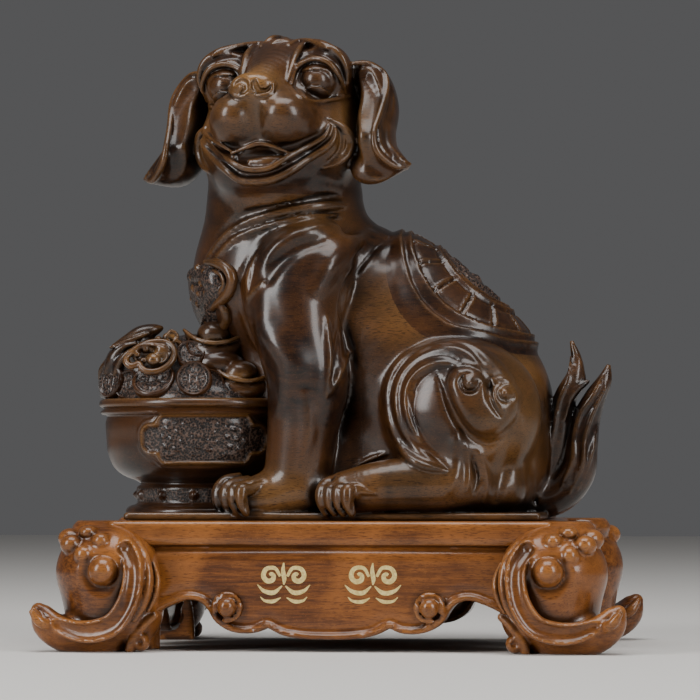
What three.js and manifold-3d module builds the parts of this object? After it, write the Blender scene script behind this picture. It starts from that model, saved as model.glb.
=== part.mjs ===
// A dog sitting on a scroll-footed plinth beside a bowl heaped with coins and ingots, carved in wood.
// Millimetres, +Z up. The dog's body looks along -X and its face is turned to -Y, the front.
// The origin is on the ground below the middle of the plinth.
import * as THREE from 'three';
import { mergeVertices } from 'three/addons/utils/BufferGeometryUtils.js';
import { edgeTable, triTable } from 'three/addons/objects/MarchingCubes.js';
import Module from 'manifold-3d';

const wasm = await Module();
wasm.setup();

// Plinth
const slabHalfLength = 108;
const slabHalfDepth = 75;
const slabTop = 63;
const slabThickness = 12;
const apronHalfLength = 101;
const apronHalfDepth = 74;
const apronThickness = 15;

// Figure
const restGap = 0.3;
const figureFoot = slabTop + restGap;
const baseThickness = 3.6;
const bowlAt = [-73, 0];
const bowlRadius = 52;
const bowlRimHeight = 123;
const blanketAt = [61, 0, 182];
const blanketNormal = [0.6, 0, 0.8];
const blanketRadius = 46;
const headAt = [-30, -12.5, 264];
const headYaw = 10;
const headPitch = 20;
const headRoll = 2;

// Fineness of the carving and of the facets
const figureGrain = 1.7;
const figureFacets = 8000;
const plinthGrain = 1.9;
const plinthFacets = 3200;

const degrees = Math.PI / 180;
const far = 1000;

// A form is { depth, middle, reach }: depth(x, y, z) is the distance outside its surface (less than
// zero inside), and nothing of it lies further than reach from middle.

function span(a, b, c = 0) {
  return Math.sqrt(a * a + b * b + c * c);
}

function smallest(a, b, soft) {
  const h = Math.max(soft - Math.abs(a - b), 0) / soft;
  return Math.min(a, b) - h * h * soft / 4;
}

function egg([cx, cy, cz], [rx, ry, rz], [tx, ty, tz] = [0, 0, 0]) {
  const turn = new THREE.Euler(tx * degrees, ty * degrees, tz * degrees);
  const m = new THREE.Matrix4().makeRotationFromEuler(turn).elements;
  const depth = (x, y, z) => {
    const px = x - cx;
    const py = y - cy;
    const pz = z - cz;
    const a = (px * m[0] + py * m[1] + pz * m[2]) / rx;
    const b = (px * m[4] + py * m[5] + pz * m[6]) / ry;
    const c = (px * m[8] + py * m[9] + pz * m[10]) / rz;
    const near = Math.sqrt(a * a + b * b + c * c);
    const slope = Math.sqrt((a / rx) ** 2 + (b / ry) ** 2 + (c / rz) ** 2);
    return slope < 1e-9 ? -Math.min(rx, ry, rz) : near * (near - 1) / slope;
  };
  return { depth, middle: [cx, cy, cz], reach: Math.max(rx, ry, rz) };
}

// A smooth curve through knots [x, y, z, radius], thick by the radius; flat squeezes space, so that
// the section is wide along an axis where flat is small.
function limb(knots, flat = [1, 1, 1], pieces = 5) {
  const places = knots.map(([x, y, z]) => new THREE.Vector3(x * flat[0], y * flat[1], z * flat[2]));
  const curve = new THREE.CatmullRomCurve3(places, false, 'centripetal');
  const count = (knots.length - 1) * pieces;
  const beads = Array.from({ length: count + 1 }, (_, i) => {
    const at = curve.getPoint(i / count);
    const knot = Math.min(Math.floor(i / pieces), knots.length - 2);
    const along = i / pieces - knot;
    return [at.x, at.y, at.z, knots[knot][3] * (1 - along) + knots[knot + 1][3] * along];
  });
  const middle = new THREE.Box3().setFromPoints(knots.map(([x, y, z]) => new THREE.Vector3(x, y, z)))
    .getCenter(new THREE.Vector3());
  const widest = 1 / Math.min(...flat);
  const reach = Math.max(...knots.map(([x, y, z, r]) =>
    middle.distanceTo(new THREE.Vector3(x, y, z)) + r * widest)) + 2;
  const depth = (x, y, z) => {
    let least = far;
    for (let i = 0; i < count; i++) {
      const a = beads[i];
      const b = beads[i + 1];
      const px = x * flat[0] - a[0];
      const py = y * flat[1] - a[1];
      const pz = z * flat[2] - a[2];
      const dx = b[0] - a[0];
      const dy = b[1] - a[1];
      const dz = b[2] - a[2];
      const dot = (px * dx + py * dy + pz * dz) / (dx * dx + dy * dy + dz * dz);
      const t = Math.min(Math.max(dot, 0), 1);
      least = Math.min(least, span(px - t * dx, py - t * dy, pz - t * dz) - a[3] - t * (b[3] - a[3]));
    }
    return least;
  };
  return { depth, middle: middle.toArray(), reach };
}

// A round disc with soft edges, such as a coin: its rim stands proud and a square hole is sunk in it.
function coin([cx, cy, cz], radius, thickness, [nx, ny, nz]) {
  const normal = new THREE.Vector3(nx, ny, nz).normalize();
  const side = new THREE.Vector3(0, 0, 1).cross(normal).normalize();
  const depth = (x, y, z) => {
    const p = [x - cx, y - cy, z - cz];
    const along = p[0] * normal.x + p[1] * normal.y + p[2] * normal.z;
    const square = p[0] * p[0] + p[1] * p[1] + p[2] * p[2] - along * along;
    const out = Math.sqrt(Math.max(square, 0));
    const rim = Math.exp(-(((out - radius * 0.82) / (radius * 0.13)) ** 2));
    const u = p[0] * side.x + p[1] * side.y + p[2] * side.z;
    const v = Math.sqrt(Math.max(square - u * u, 0));
    const hole = Math.max(Math.abs(u), v) < radius * 0.24 ? 1.2 : 0;
    const wall = out - radius;
    const face = Math.abs(along) - thickness / 2 - 0.7 * rim + hole;
    return Math.min(Math.max(wall, face), 0) + span(Math.max(wall, 0), Math.max(face, 0)) - 0.4;
  };
  return { depth, middle: [cx, cy, cz], reach: radius + thickness + 1 };
}

// A form turned on a vertical axis from a profile of [radius, height] points.
function turned([cx, cy], profile) {
  const heights = profile.map(([, z]) => z);
  const cz = (Math.min(...heights) + Math.max(...heights)) / 2;
  const reach = Math.max(...profile.map(([r, z]) => span(r, z - cz))) + 1;
  const depth = (x, y, z) => {
    const out = span(x - cx, y - cy);
    let least = far;
    let inside = false;
    profile.forEach(([ar, az], i) => {
      const [br, bz] = profile[(i + 1) % profile.length];
      const [dr, dz] = [br - ar, bz - az];
      const t = Math.min(Math.max(((out - ar) * dr + (z - az) * dz) / (dr * dr + dz * dz), 0), 1);
      least = Math.min(least, span(out - ar - t * dr, z - az - t * dz));
      if ((az > z) !== (bz > z) && out < ar + (z - az) / (bz - az) * (br - ar)) inside = !inside;
    });
    return inside ? -least : least;
  };
  return { depth, middle: [cx, cy, cz], reach };
}

// A block with all its edges rounded.
function block([cx, cy, cz], [hx, hy, hz], round) {
  const depth = (x, y, z) => {
    const a = Math.abs(x - cx) - hx + round;
    const b = Math.abs(y - cy) - hy + round;
    const c = Math.abs(z - cz) - hz + round;
    const outside = span(Math.max(a, 0), Math.max(b, 0), Math.max(c, 0));
    return outside + Math.min(Math.max(a, b, c), 0) - round;
  };
  return { depth, middle: [cx, cy, cz], reach: span(hx, hy, hz) };
}

// Steps of carving, done in order. A paired step is done on both sides of the body.
const add = (form, soft = 4, paired = false) => ({ form, soft, paired, sign: 1 });
const dig = (form, soft = 2, paired = false) => ({ form, soft, paired, sign: -1 });
const shape = (change) => ({ change });

function carve(steps, pair) {
  const [px, py] = [pair === 'x', pair === 'y'];
  return (x, y, z) => {
    let depth = far;
    for (const step of steps) {
      if (step.change) {
        if (Math.abs(depth) < 12) depth = step.change(depth, x, y, z);
        continue;
      }
      const form = step.form;
      const soft = step.soft;
      const u = step.paired && px ? Math.abs(x) : x;
      const v = step.paired && py ? -Math.abs(y) : y;
      const middle = form.middle;
      const away = span(u - middle[0], v - middle[1], z - middle[2]) - form.reach;
      if (away > (step.sign > 0 ? soft + depth : soft - depth)) continue;
      const found = form.depth(u, v, z);
      depth = step.sign > 0 ? smallest(depth, found, soft) : -smallest(-depth, found, soft);
    }
    return depth;
  };
}

// How far a point of a side view is from a smooth curve drawn there
function drawn(points, pieces = 6) {
  const curve = new THREE.CatmullRomCurve3(points.map(([a, b]) => new THREE.Vector3(a, b, 0)), false,
    'centripetal');
  const line = curve.getPoints((points.length - 1) * pieces);
  return (a, b) => {
    let least = far;
    for (let i = 0; i + 1 < line.length; i++) {
      const dx = line[i + 1].x - line[i].x;
      const dy = line[i + 1].y - line[i].y;
      const dot = (a - line[i].x) * dx + (b - line[i].y) * dy;
      const t = Math.min(Math.max(dot / (dx * dx + dy * dy), 0), 1);
      least = Math.min(least, span(a - line[i].x - t * dx, b - line[i].y - t * dy));
    }
    return least;
  };
}

const swell = (gap, width) => Math.exp(-((gap / width) ** 2));

// Knots [across, up, radius] drawn on a view along y are laid on the surface that the view meets
// first, coming from y = start; lift raises them off it.
function laidOn(depthAt, start, knots, lift = 0) {
  const inward = -Math.sign(start);
  return knots.map(([across, up, radius]) => {
    let y = start;
    let [least, nearest] = [far, start];
    for (let n = 0; n < 80 && y * start > 0; n++) {
      const gap = depthAt(across, y, up);
      if (gap < least) [least, nearest] = [gap, y];
      if (gap < 0.05) break;
      y += inward * Math.max(gap * 0.7, 0.05);
    }
    return [across, nearest - inward * lift, up, radius];
  });
}

// Torso, neck, shoulders, legs and paws
const body = [
  add(limb([[47, 0, 116, 56.5], [23, 0, 148, 51], [-12, 0, 178, 41]], [1, 1.22, 1])),
  add(egg([59, 0, 94], [44, 48, 40]), 8),
  add(egg([-36, 0, 182], [41, 42, 42]), 10),
  add(egg([-24, 0, 136], [36, 34, 48]), 10),
  add(egg([8, 0, 86], [64, 37, 42]), 8),
  add(limb([[-32, -2, 186, 42], [-31, -3, 222, 39], [-32, -8, 254, 35]]), 8),
  add(egg([-14, -34, 176], [30, 23, 38], [0, 20, 0]), 9, true),
  add(limb([[-24, -37, 168, 21], [-17, -43, 130, 20], [-19, -42, 104, 17], [-20, -42, 80, 16]]), 6, true),
  add(limb([[-18, -42, 76, 15], [-33, -46, 74, 13], [-44, -49, 72, 10]]), 4, true),
  add(egg([62, -36, 115], [38, 27, 37]), 5, true),
  add(limb([[90, -36, 77, 13], [58, -48, 80, 15], [24, -54, 80, 13], [6, -55, 77, 11]]), 4, true),
];
const bareBody = carve(body, 'y');
const onBody = (knots, lift) => limb(laidOn(bareBody, -110, knots, lift));

const toes = [];
for (let i = 0; i < 4; i++) {
  const fore = [-56 + 4.8 * i, -46 - 3.6 * i, 74 + i];
  toes.push(add(limb([[fore[0] + 9, fore[1] + 7, 83 + i, 3.8], [...fore, 4.5],
    [fore[0] - 1, fore[1] - 1.5, 66, 3.8]]), 0.5, true));
  const hind = [-5 + 4.6 * i, -57 - 1.6 * i, 75];
  toes.push(add(limb([[hind[0] + 10, hind[1] + 7, 83, 3.8], [...hind, 4.5],
    [hind[0] - 1, hind[1] - 1.5, 66, 3.8]]), 0.5, true));
}

// Folds of skin on the neck and the sinews of the legs
const folds = [
  add(onBody([[-4, 217, 2], [-14, 216.5, 4], [-36, 215, 4.4], [-53, 209, 4.4], [-64, 192, 3.6]], 0.5),
    2.5, true),
  add(onBody([[-4, 209, 1.6], [-14, 208, 3], [-34, 206, 3.4], [-48, 199, 3.2], [-57, 184, 2.6]], 0.2),
    2.5, true),
  add(onBody([[-5, 227, 2], [-16, 225, 3.4], [-32, 222, 2]], 0), 3, true),
  dig(onBody([[-5, 222, 1], [-14, 221, 1.8], [-42, 219, 1.8], [-60, 208, 1.8], [-70, 192, 1]], 0), 2, true),
  dig(onBody([[-49, 202, 1], [-46, 190, 3], [-43, 176, 3], [-42, 164, 1]], 0), 5, true),
  dig(onBody([[23, 203, 1], [10, 194, 3.6], [-2, 178, 4], [-5, 160, 3]], 1), 7, true),
  add(onBody([[-2, 172, 1], [2, 156, 3], [6, 138, 3.4], [3, 118, 1]], 0), 4, true),
  add(onBody([[-20, 152, 1], [-13, 132, 3], [-12, 112, 2.6], [-16, 92, 1]], -0.5), 4, true),
  dig(onBody([[30, 92, 1], [21, 108, 3], [22, 130, 3.6], [36, 150, 3.6], [58, 161, 3], [78, 158, 1]], 1),
    6, true),
];

// The thigh's scrolls: rings around the haunch, a hanging drop between two curls, and flame streaks
const thighRings = [0, 5.4, 10.2].map((inset, i) => drawn([
  [60 + 0.2 * inset, 83 + 0.7 * inset], [43 + 0.7 * inset, 91.5 + 0.8 * inset],
  [28 + inset, 112], [34 + 0.9 * inset, 138 - 0.6 * inset], [53, 150.5 - inset],
  [67.5 - 0.2 * inset, 148 - inset], [77 - 0.6 * inset, 141 - 0.8 * inset],
].slice(i ? 1 : 0)));
const thighCurls = [[65, 129, 6.5], [82, 124, 6.5]];
const dropEdge = drawn([[55, 127], [60, 110], [71, 97], [85, 110], [86, 120]]);
const flames = [drawn([[66, 68], [70, 82], [68, 95]]), drawn([[74, 68], [80, 82], [78, 95]]),
  drawn([[83, 70], [90, 84], [89, 104]])];

function thighRelief(x, z) {
  let rise = 0;
  thighRings.forEach((ring, i) => {
    rise = Math.max(rise, (4.8 - 0.8 * i) * swell(ring(x, z), 2.3));
  });
  for (const [cx, cz, radius] of thighCurls) {
    const out = span(x - cx, z - cz);
    rise = Math.max(rise, 5 * swell(out, 3.4), 3.8 * swell(out - radius, 1.8));
  }
  rise = Math.max(rise, 4 * swell(dropEdge(x, z), 2.2));
  for (const flame of flames) rise = Math.max(rise, 2 * swell(flame(x, z), 2));
  return rise;
}

// The coin-patterned blanket over the back
function blanketRelief(x, y, z) {
  const p = [x - blanketAt[0], y - blanketAt[1], z - blanketAt[2]];
  const along = p[0] * blanketNormal[0] + p[1] * blanketNormal[1] + p[2] * blanketNormal[2];
  if (along < -60) return 0;
  const out = Math.sqrt(Math.max(p[0] ** 2 + p[1] ** 2 + p[2] ** 2 - along ** 2, 0));
  if (out > blanketRadius + 3) return 0;
  const turn = Math.atan2(p[1], p[0] * blanketNormal[2] - p[2] * blanketNormal[0]);
  const plate = 3 / (1 + Math.exp((out - blanketRadius) / 1.2));
  const rims = Math.max(2.4 * swell(out - blanketRadius + 2.4, 1.8), 2.2 * swell(out - 25, 1.8));
  const bars = out > 26 && out < 41 ? 1.8 * swell(Math.sin(turn * 6) * out * 0.16, 1.1) : 0;
  return plate + Math.max(rims, bars);
}

const dress = [
  shape((depth, x, y, z) => {
    const near = Math.min(Math.max((Math.abs(y) - 38) / 12, 0), 1);
    const side = y < 0 ? 1 : 0.7;
    return depth - near * side * thighRelief(x, z);
  }),
  shape((depth, x, y, z) => depth - blanketRelief(x, y, z)),
];

// Tail: two flames of strands that rise behind the rump
const tail = [
  add(limb([[90, 0, 74, 11], [110, -2, 76, 10], [124, -4, 92, 9], [125, -4, 112, 7],
    [128, -5, 126, 5], [132, -6, 139.5, 1.2]], [1, 0.8, 1]), 5),
  add(limb([[96, 0, 78, 10], [112, -2, 92, 9], [116, -3, 112, 7.5], [116, -3, 132, 5],
    [111.6, -2, 151, 1.3]], [1, 0.8, 1]), 2),
  add(limb([[96, 0, 84, 9], [104, 0, 104, 7], [105, 0, 124, 4.5], [111, -1, 138, 1.2]],
    [1, 0.8, 1]), 2),
];

// Head, in its own directions: x to its side, y forward along the muzzle, z up through the crown
const skull = [
  add(egg([0, -6, 4], [40, 38, 35])),
  add(egg([24, 4, -18], [16, 24, 20]), 8, true),
  add(egg([0, 11, -34], [28, 23, 17.5]), 6),
  add(egg([0, 23, -14], [24, 24, 17]), 5),
  add(limb([[0, 41, -5, 9], [0, 27, 7, 12], [0, 8, 20, 16]]), 7),
  add(egg([11, 32, -20], [13, 15, 12]), 3, true),
  add(limb([[7, 36, -32, 3.4], [14, 34, -36.5, 4], [25, 28, -30, 3.6], [34, 21, -19, 3]]), 3, true),
];
const bareSkull = carve(skull, 'x');
const onSkull = (knots, lift) => limb(laidOn(bareSkull, 90, knots, lift));
const eyeAt = laidOn(bareSkull, 90, [[25, 2.5, 0]], -6)[0];

const head = [
  ...skull,
  dig(egg([eyeAt[0], eyeAt[1] + 9, eyeAt[2]], [13, 8, 11]), 2, true),
  add(egg([eyeAt[0], eyeAt[1] + 0.5, eyeAt[2]], [9, 9.6, 8.2]), 0.5, true),
  add(onSkull([[11.5, 0.5, 1.4], [16, 9.5, 2.3], [26, 12.8, 2.5], [36.5, 4.5, 1.6]], 0.2), 1, true),
  add(onSkull([[11.5, 0.5, 1.4], [17, -6, 2], [27, -9, 2.1], [36.5, -4, 1.4]], 0), 1, true),
  add(onSkull([[10.5, 4, 1.8], [13, 14, 2.6], [19, 20, 2.8], [28, 22, 2.8], [36, 15.5, 2.4], [39, 4, 1.4]],
    1), 1.4, true),
  add(onSkull([[9, 13, 1.2], [12, 21, 2], [19, 27.5, 2.4], [29, 28.5, 2.2], [36, 22, 1.6]], 0.4), 1.8, true),
  add(egg([0, 46, -5.5], [11.5, 9.5, 7]), 0.8),
  dig(limb([[4, 56, -9, 1.8], [7.4, 54, -9.5, 2.4], [9.4, 52, -5.5, 1.4]]), 0.6, true),
  dig(onSkull([[0, -12, 1.4], [0, -20, 1.7], [0, -30, 2]], 0), 1.6),
  dig(limb([[0, 42, -42, 7.4], [9, 40, -41.5, 5.8], [17, 36, -38.5, 2.8]]), 1, true),
  dig(onSkull([[13, -40.5, 2], [24, -34, 2.3], [31, -27, 2.2], [36.5, -17, 1.5]], 0), 0.8, true),
  add(egg([0, 26, -44], [13, 11, 4.5]), 1.5),
  add(onSkull([[0, -51.5, 2.4], [12, -49, 2.6], [25, -39.5, 2.4], [36, -25, 1.6]], 0.4), 1.6, true),
  add(onSkull([[0, -47, 1.8], [10, -45.5, 1.9], [22, -37, 1.7], [32, -26, 1.2]], 0.6), 1, true),
  add(onSkull([[35, -14, 1.2], [40, -19, 2.2], [40.5, -28, 2.4], [33, -39, 1.2]], 0.3), 2, true),
  add(limb([[30, -2, 19, 6], [43, -1, 17, 8.5], [49, 0, 4, 9], [49, 2, -12, 9], [53, 4, -26, 8.6],
    [66, 6, -33, 2.4]], [1, 0.55, 1]), 2, true),
  dig(limb([[50, 17, 6, 2], [50, 19, -6, 4], [50, 20, -16, 4.4], [58, 19, -25, 2.4]]), 3, true),
  add(limb([[44, 9, 17, 1.8], [55, 12, 5, 2], [46, 17, -10, 2.2], [47, 18, -22, 2.2],
    [62, 14, -32, 2]]), 1.4, true),
  add(egg([-2, 4, 38.5], [5, 5, 4]), 2),
];

function headFrame() {
  const [ya, pi, ro] = [headYaw * degrees, headPitch * degrees, headRoll * degrees];
  const v = new THREE.Vector3(-Math.sin(ya) * Math.cos(pi), -Math.cos(ya) * Math.cos(pi), Math.sin(pi));
  const level = new THREE.Vector3(Math.cos(ya), -Math.sin(ya), 0);
  const up = level.clone().cross(v);
  if (up.z < 0) up.negate();
  const u = level.clone().multiplyScalar(Math.cos(ro)).addScaledVector(up, Math.sin(ro));
  const w = up.clone().multiplyScalar(Math.cos(ro)).addScaledVector(level, -Math.sin(ro));
  return [u, v, w];
}

function headForm() {
  const [u, v, w] = headFrame();
  const carved = carve(head, 'x');
  const [cx, cy, cz] = headAt;
  const depth = (x, y, z) => {
    const [px, py, pz] = [x - cx, y - cy, z - cz];
    return carved(px * u.x + py * u.y + pz * u.z, px * v.x + py * v.y + pz * v.z,
      px * w.x + py * w.y + pz * w.z);
  };
  return { depth, middle: headAt, reach: 86 };
}

// Bowl on its foot ring, with a rolled double rim
const [bowlX, bowlY] = bowlAt;
const bowl = [
  add(turned(bowlAt, [[0, 58], [38, 58], [38.5, 67.5], [36.5, 69.5], [33, 71], [33, 79], [31, 80.5],
    [33, 82], [40, 85], [44.5, 89], [47.5, 96], [48.4, 104], [48.8, 111], [48.2, 114.5],
    [bowlRadius - 1.6, 115.2], [bowlRadius - 0.6, 116.4], [bowlRadius - 2.2, 118.2],
    [bowlRadius - 0.2, 119.4], [bowlRadius, 121], [bowlRadius - 1, bowlRimHeight - 0.4],
    [bowlRadius - 3, bowlRimHeight], [0, bowlRimHeight]]), 0.8),
];
for (let i = 0; i < 12; i++) {
  const turn = (i + 0.5) * Math.PI / 6;
  const stud = [bowlX + 33 * Math.cos(turn), bowlY + 33 * Math.sin(turn), 75];
  bowl.push(add(egg(stud, [2.6, 2.6, 2.6]), 0.6));
}
bowl.push(shape((depth, x, y, z) => {
  const turn = Math.atan2(x - bowlX, -(y - bowlY)) / Math.PI * 180;
  const [across, high] = [Math.abs(turn) - 42, Math.abs(z - 101) - 11];
  const corner = 9;
  const [out, over] = [across * 0.83 + corner, high + corner];
  const edge = Math.min(Math.max(out, over), 0) + span(Math.max(out, 0), Math.max(over, 0)) - corner;
  return depth - 2 * swell(edge, 1.6);
}));

// Heap of coins and ingots in the bowl
const heap = [
  add(egg([bowlX, bowlY, 122], [47, 47, 27]), 1),
  add(coin([-117, -16, 131.5], 7.6, 4, [-0.75, -0.62, 0.2]), 0.6),
  add(coin([-121, 2, 131], 8, 4, [-0.9, -0.1, 0.35]), 0.6),
  add(coin([-98, -35, 132], 10.5, 4, [-0.35, -0.85, 0.42]), 0.6),
  add(coin([-77, -41, 132.5], 9, 4, [0.05, -0.95, 0.3]), 0.6),
  add(coin([-79, -29, 145], 8.6, 4, [0.1, -0.82, 0.55]), 0.6),
  add(coin([-112, 22, 132], 9, 4, [-0.7, 0.55, 0.4]), 0.6),
  add(coin([-93, 38, 132], 10, 4, [-0.3, 0.85, 0.42]), 0.6),
  add(coin([-70, 42, 132], 10, 4, [0.05, 0.95, 0.4]), 0.6),
  add(coin([-88, 26, 146], 9, 4, [-0.1, 0.75, 0.65]), 0.6),
  add(egg([-99, -24, 144], [13, 8, 8], [20, 0, -14]), 1),
  dig(egg([-99, -31, 147], [9.5, 4, 5.5], [20, 0, -14]), 1),
  add(egg([-99, -27, 145.5], [4, 4, 4]), 1),
  add(egg([-104, -28, 148], [2.6, 2.6, 2.6]), 0.6),
  add(egg([-93.5, -28, 149], [2.6, 2.6, 2.6]), 0.6),
  add(limb([[-117, -12, 149.5, 2], [-110, -13, 156, 4], [-98, -10, 160, 4.4], [-92, -6, 158, 3]],
    [1, 0.6, 1]), 1),
  add(egg([-89, -18, 152.5], [3.2, 3.2, 3.2]), 0.6),
  add(egg([-93, -16, 154], [2.6, 2.6, 2.6]), 0.6),
  add(limb([[-83, -17, 158, 2], [-76, -17, 150, 5], [-64, -18, 146, 7], [-54, -18, 148, 5.4],
    [-49, -18, 154, 2]], [1, 0.6, 1]), 1),
  add(egg([-64.5, -18, 156.5], [8.6, 8, 5.6]), 0.8),
  add(limb([[-70, -34, 139, 2], [-64, -35, 131, 5], [-52, -36, 127, 7.4], [-42, -34, 129, 5.4],
    [-37, -33, 132, 2]], [1, 0.6, 1]), 1),
  add(egg([-54, -35, 136], [9, 8, 6.4]), 0.8),
];

// Ruyi lock that hangs on the chest from the collar fold: two lobes with a rolled border
const pendantAt = [-66, -24, 174];
const pendantFacing = [-0.62, -0.78, 0.05];
function lobe(across, up, radius) {
  const middle = [pendantAt[0] + across * 0.78, pendantAt[1] - across * 0.62, pendantAt[2] + up];
  const normal = new THREE.Vector3(...pendantFacing).normalize();
  const depth = (x, y, z) => {
    const p = [x - middle[0], y - middle[1], z - middle[2]];
    const along = p[0] * normal.x + p[1] * normal.y + p[2] * normal.z;
    const out = Math.sqrt(Math.max(p[0] * p[0] + p[1] * p[1] + p[2] * p[2] - along * along, 0));
    const plate = Math.max(out - radius, Math.abs(along) - 3.4);
    return Math.min(plate, span(out - radius + 1.4, along - 3.2) - 1.9);
  };
  return { depth, middle, reach: radius + 5 };
}
const pendant = [
  add(lobe(1, 8, 9.6), 0.8),
  add(lobe(-1, -6, 8.6), 0.8),
  add(egg([-76, -20, 181], [3.4, 3.4, 3.4]), 0.8),
  add(egg([-78, -18, 176], [3, 3, 3]), 0.8),
  add(egg([-73.5, -24, 176], [2.6, 2.6, 2.6]), 0.8),
  add(egg([-75, -17, 168], [3.6, 3.6, 3.6]), 0.8),
];

const figureSteps = [...body, ...toes, ...folds, ...dress, add(headForm(), 6), ...tail, ...pendant,
  ...bowl, ...heap,
  add(block([-1, 0, figureFoot - 1], [102, 59, baseThickness + 1], 1.5), 0.8)];
const figureDepth = carve(figureSteps, 'y');

// Plinth: a slab on a scalloped apron between four scroll corners
function apronBottom(x) {
  const a = Math.abs(x);
  const belly = 3.6 + 2.6 * (a / 27) ** 3;
  const step = 1 / (1 + Math.exp((a - 29) / 0.8));
  const arch = 1 - Math.min(Math.abs((a - 70) / 20), 1) ** 2.4;
  const opening = a < 90 ? 13.5 + 11.5 * arch : -5;
  return belly * step + opening * (1 - step);
}

function sideApronBottom(y) {
  const a = Math.abs(y);
  if (a < 18) return 6;
  const arch = 1 - ((a - 36) / 19) ** 2;
  return arch > 0 ? 8 + 14 * Math.sqrt(arch) : -5;
}

const bowed = (a, half) => 3 * (1 - (a / half) ** 2);

function apronForm() {
  const depth = (x, y, z) => {
    const front = Math.abs(y) - apronHalfDepth - bowed(x, slabHalfLength) + 2;
    const side = Math.abs(x) - apronHalfLength - bowed(y, slabHalfDepth);
    const outside = Math.max(front, side);
    const inside = Math.min(-front, -side) - apronThickness;
    const wall = Math.max(outside, inside);
    const below = (front > side ? apronBottom(x) : sideApronBottom(y)) - z;
    const lip = 1.6 * swell(below + 2.4, 2) - 3 * swell(z - 49.5, 2.4);
    return Math.max(wall - lip, below, z - (slabTop - slabThickness + 1));
  };
  return { depth, middle: [0, 0, 30], reach: 160 };
}

const cornerBand = [[96, -74, 50, 5], [91, -88, 44, 6], [91, -94, 30, 6.4], [97, -95, 17, 6.4],
  [110, -93, 10, 6.6], [124, -90, 12, 6], [133, -86, 18, 4]];
const corner = [
  add(egg([108, -68, 38], [26, 25, 24]), 6),
  add(egg([106, -66, 20], [24, 24, 22]), 6),
  dig(egg([107, -97, 38], [13, 8, 13]), 2),
  add(limb(cornerBand), 1.6),
  add(egg([107, -90, 39], [8.6, 8.4, 8.6]), 0.6),
  add(limb([[110, -74, 6, 10], [126, -80, 8, 9], [137, -82, 14, 7], [140.5, -83, 21, 3.6]]), 4),
  add(egg([110, -84, 54.5], [4.4, 4.4, 4.4]), 0.6),
  add(egg([117, -86, 49], [5.6, 5.6, 5.6]), 0.6),
  add(egg([124, -80, 51.5], [5.6, 5.6, 5.6]), 0.6),
  add(egg([128, -72, 53], [4.4, 4.4, 4.4]), 0.6),
  add(limb([[86, -84, 12, 4], [90, -82, 5, 5], [95, -80, 2, 6]]), 3),
  add(egg([114, -60, 58], [14, 14, 8]), 3),
];

function cornerForm() {
  const carved = carve(corner, 'none');
  return { depth: (x, y, z) => carved(Math.abs(x), -Math.abs(y), z), middle: [0, 0, 30], reach: 190 };
}

const plinthSteps = [
  add(apronForm(), 1),
  add(cornerForm(), 2),
  add(egg([51, -78, 23], [5.6, 5, 5.6]), 1, true),
  add(egg([-51, -78, 23], [5.6, 5, 5.6]), 1, true),
  add(block([0, 0, slabTop - slabThickness / 2 + 2],
    [slabHalfLength, slabHalfDepth, slabThickness / 2 + 2], 3.2), 1),
];
const plinthDepth = carve(plinthSteps, 'y');

// The surface where depth is zero, found on a lattice of cells, as one closed skin of triangles
function skin(depthAt, low, high, cell) {
  const [nx, ny, nz] = low.map((a, i) => Math.ceil((high[i] - a) / cell) + 1);
  const field = new Float32Array(nx * ny * nz);
  const index = (i, j, k) => i + nx * (j + ny * k);
  const blockCells = 6;
  const clear = blockCells * cell * 1.6;
  const eachCell = (from, to, visit) => {
    for (let k = from[2]; k < to[2]; k++) {
      for (let j = from[1]; j < to[1]; j++) {
        for (let i = from[0]; i < to[0]; i++) visit(i, j, k);
      }
    }
  };
  const blocks = [nx, ny, nz].map((n) => Math.ceil(n / blockCells));
  eachCell([0, 0, 0], blocks, (bi, bj, bk) => {
    const from = [bi, bj, bk].map((b) => b * blockCells);
    const to = from.map((a, n) => Math.min(a + blockCells, [nx, ny, nz][n]));
    const middle = from.map((a, n) => low[n] + (a + (blockCells - 1) / 2) * cell);
    const coarse = depthAt(...middle);
    eachCell(from, to, (i, j, k) => {
      const found = Math.abs(coarse) > clear ? coarse
        : depthAt(low[0] + i * cell, low[1] + j * cell, low[2] + k * cell);
      const atEdge = i * j * k === 0 || i === nx - 1 || j === ny - 1 || k === nz - 1;
      field[index(i, j, k)] = atEdge ? Math.max(found, cell) : found;
    });
  });
  const cornersOf = [[0, 0, 0], [1, 0, 0], [1, 1, 0], [0, 1, 0], [0, 0, 1], [1, 0, 1], [1, 1, 1],
    [0, 1, 1]];
  const edgesOf = [[0, 1], [1, 2], [2, 3], [3, 0], [4, 5], [5, 6], [6, 7], [7, 4], [0, 4], [1, 5],
    [2, 6], [3, 7]];
  const known = new Map();
  const places = [];
  const triangles = [];
  const crossing = (i, j, k, edge) => {
    const [a, b] = edgesOf[edge].map((c) => cornersOf[c].map((step, n) => [i, j, k][n] + step));
    const [one, two] = [index(...a), index(...b)];
    const key = Math.min(one, two) * 4 + (a[0] !== b[0] ? 0 : a[1] !== b[1] ? 1 : 2);
    if (!known.has(key)) {
      const t = Math.min(Math.max(field[one] / (field[one] - field[two]), 0.04), 0.96);
      known.set(key, places.length / 3);
      a.forEach((value, n) => places.push(low[n] + cell * (value + t * (b[n] - value))));
    }
    return known.get(key);
  };
  eachCell([0, 0, 0], [nx - 1, ny - 1, nz - 1], (i, j, k) => {
    let kind = 0;
    for (let n = 0; n < 8; n++) {
      const [a, b, c] = cornersOf[n];
      if (field[index(i + a, j + b, k + c)] < 0) kind |= 1 << n;
    }
    if (edgeTable[kind] === 0) return;
    for (let n = kind * 16; triTable[n] !== -1; n += 3) {
      triangles.push([triTable[n + 2], triTable[n + 1], triTable[n]]
        .map((edge) => crossing(i, j, k, edge)));
    }
  });
  return { places, triangles };
}

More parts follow.
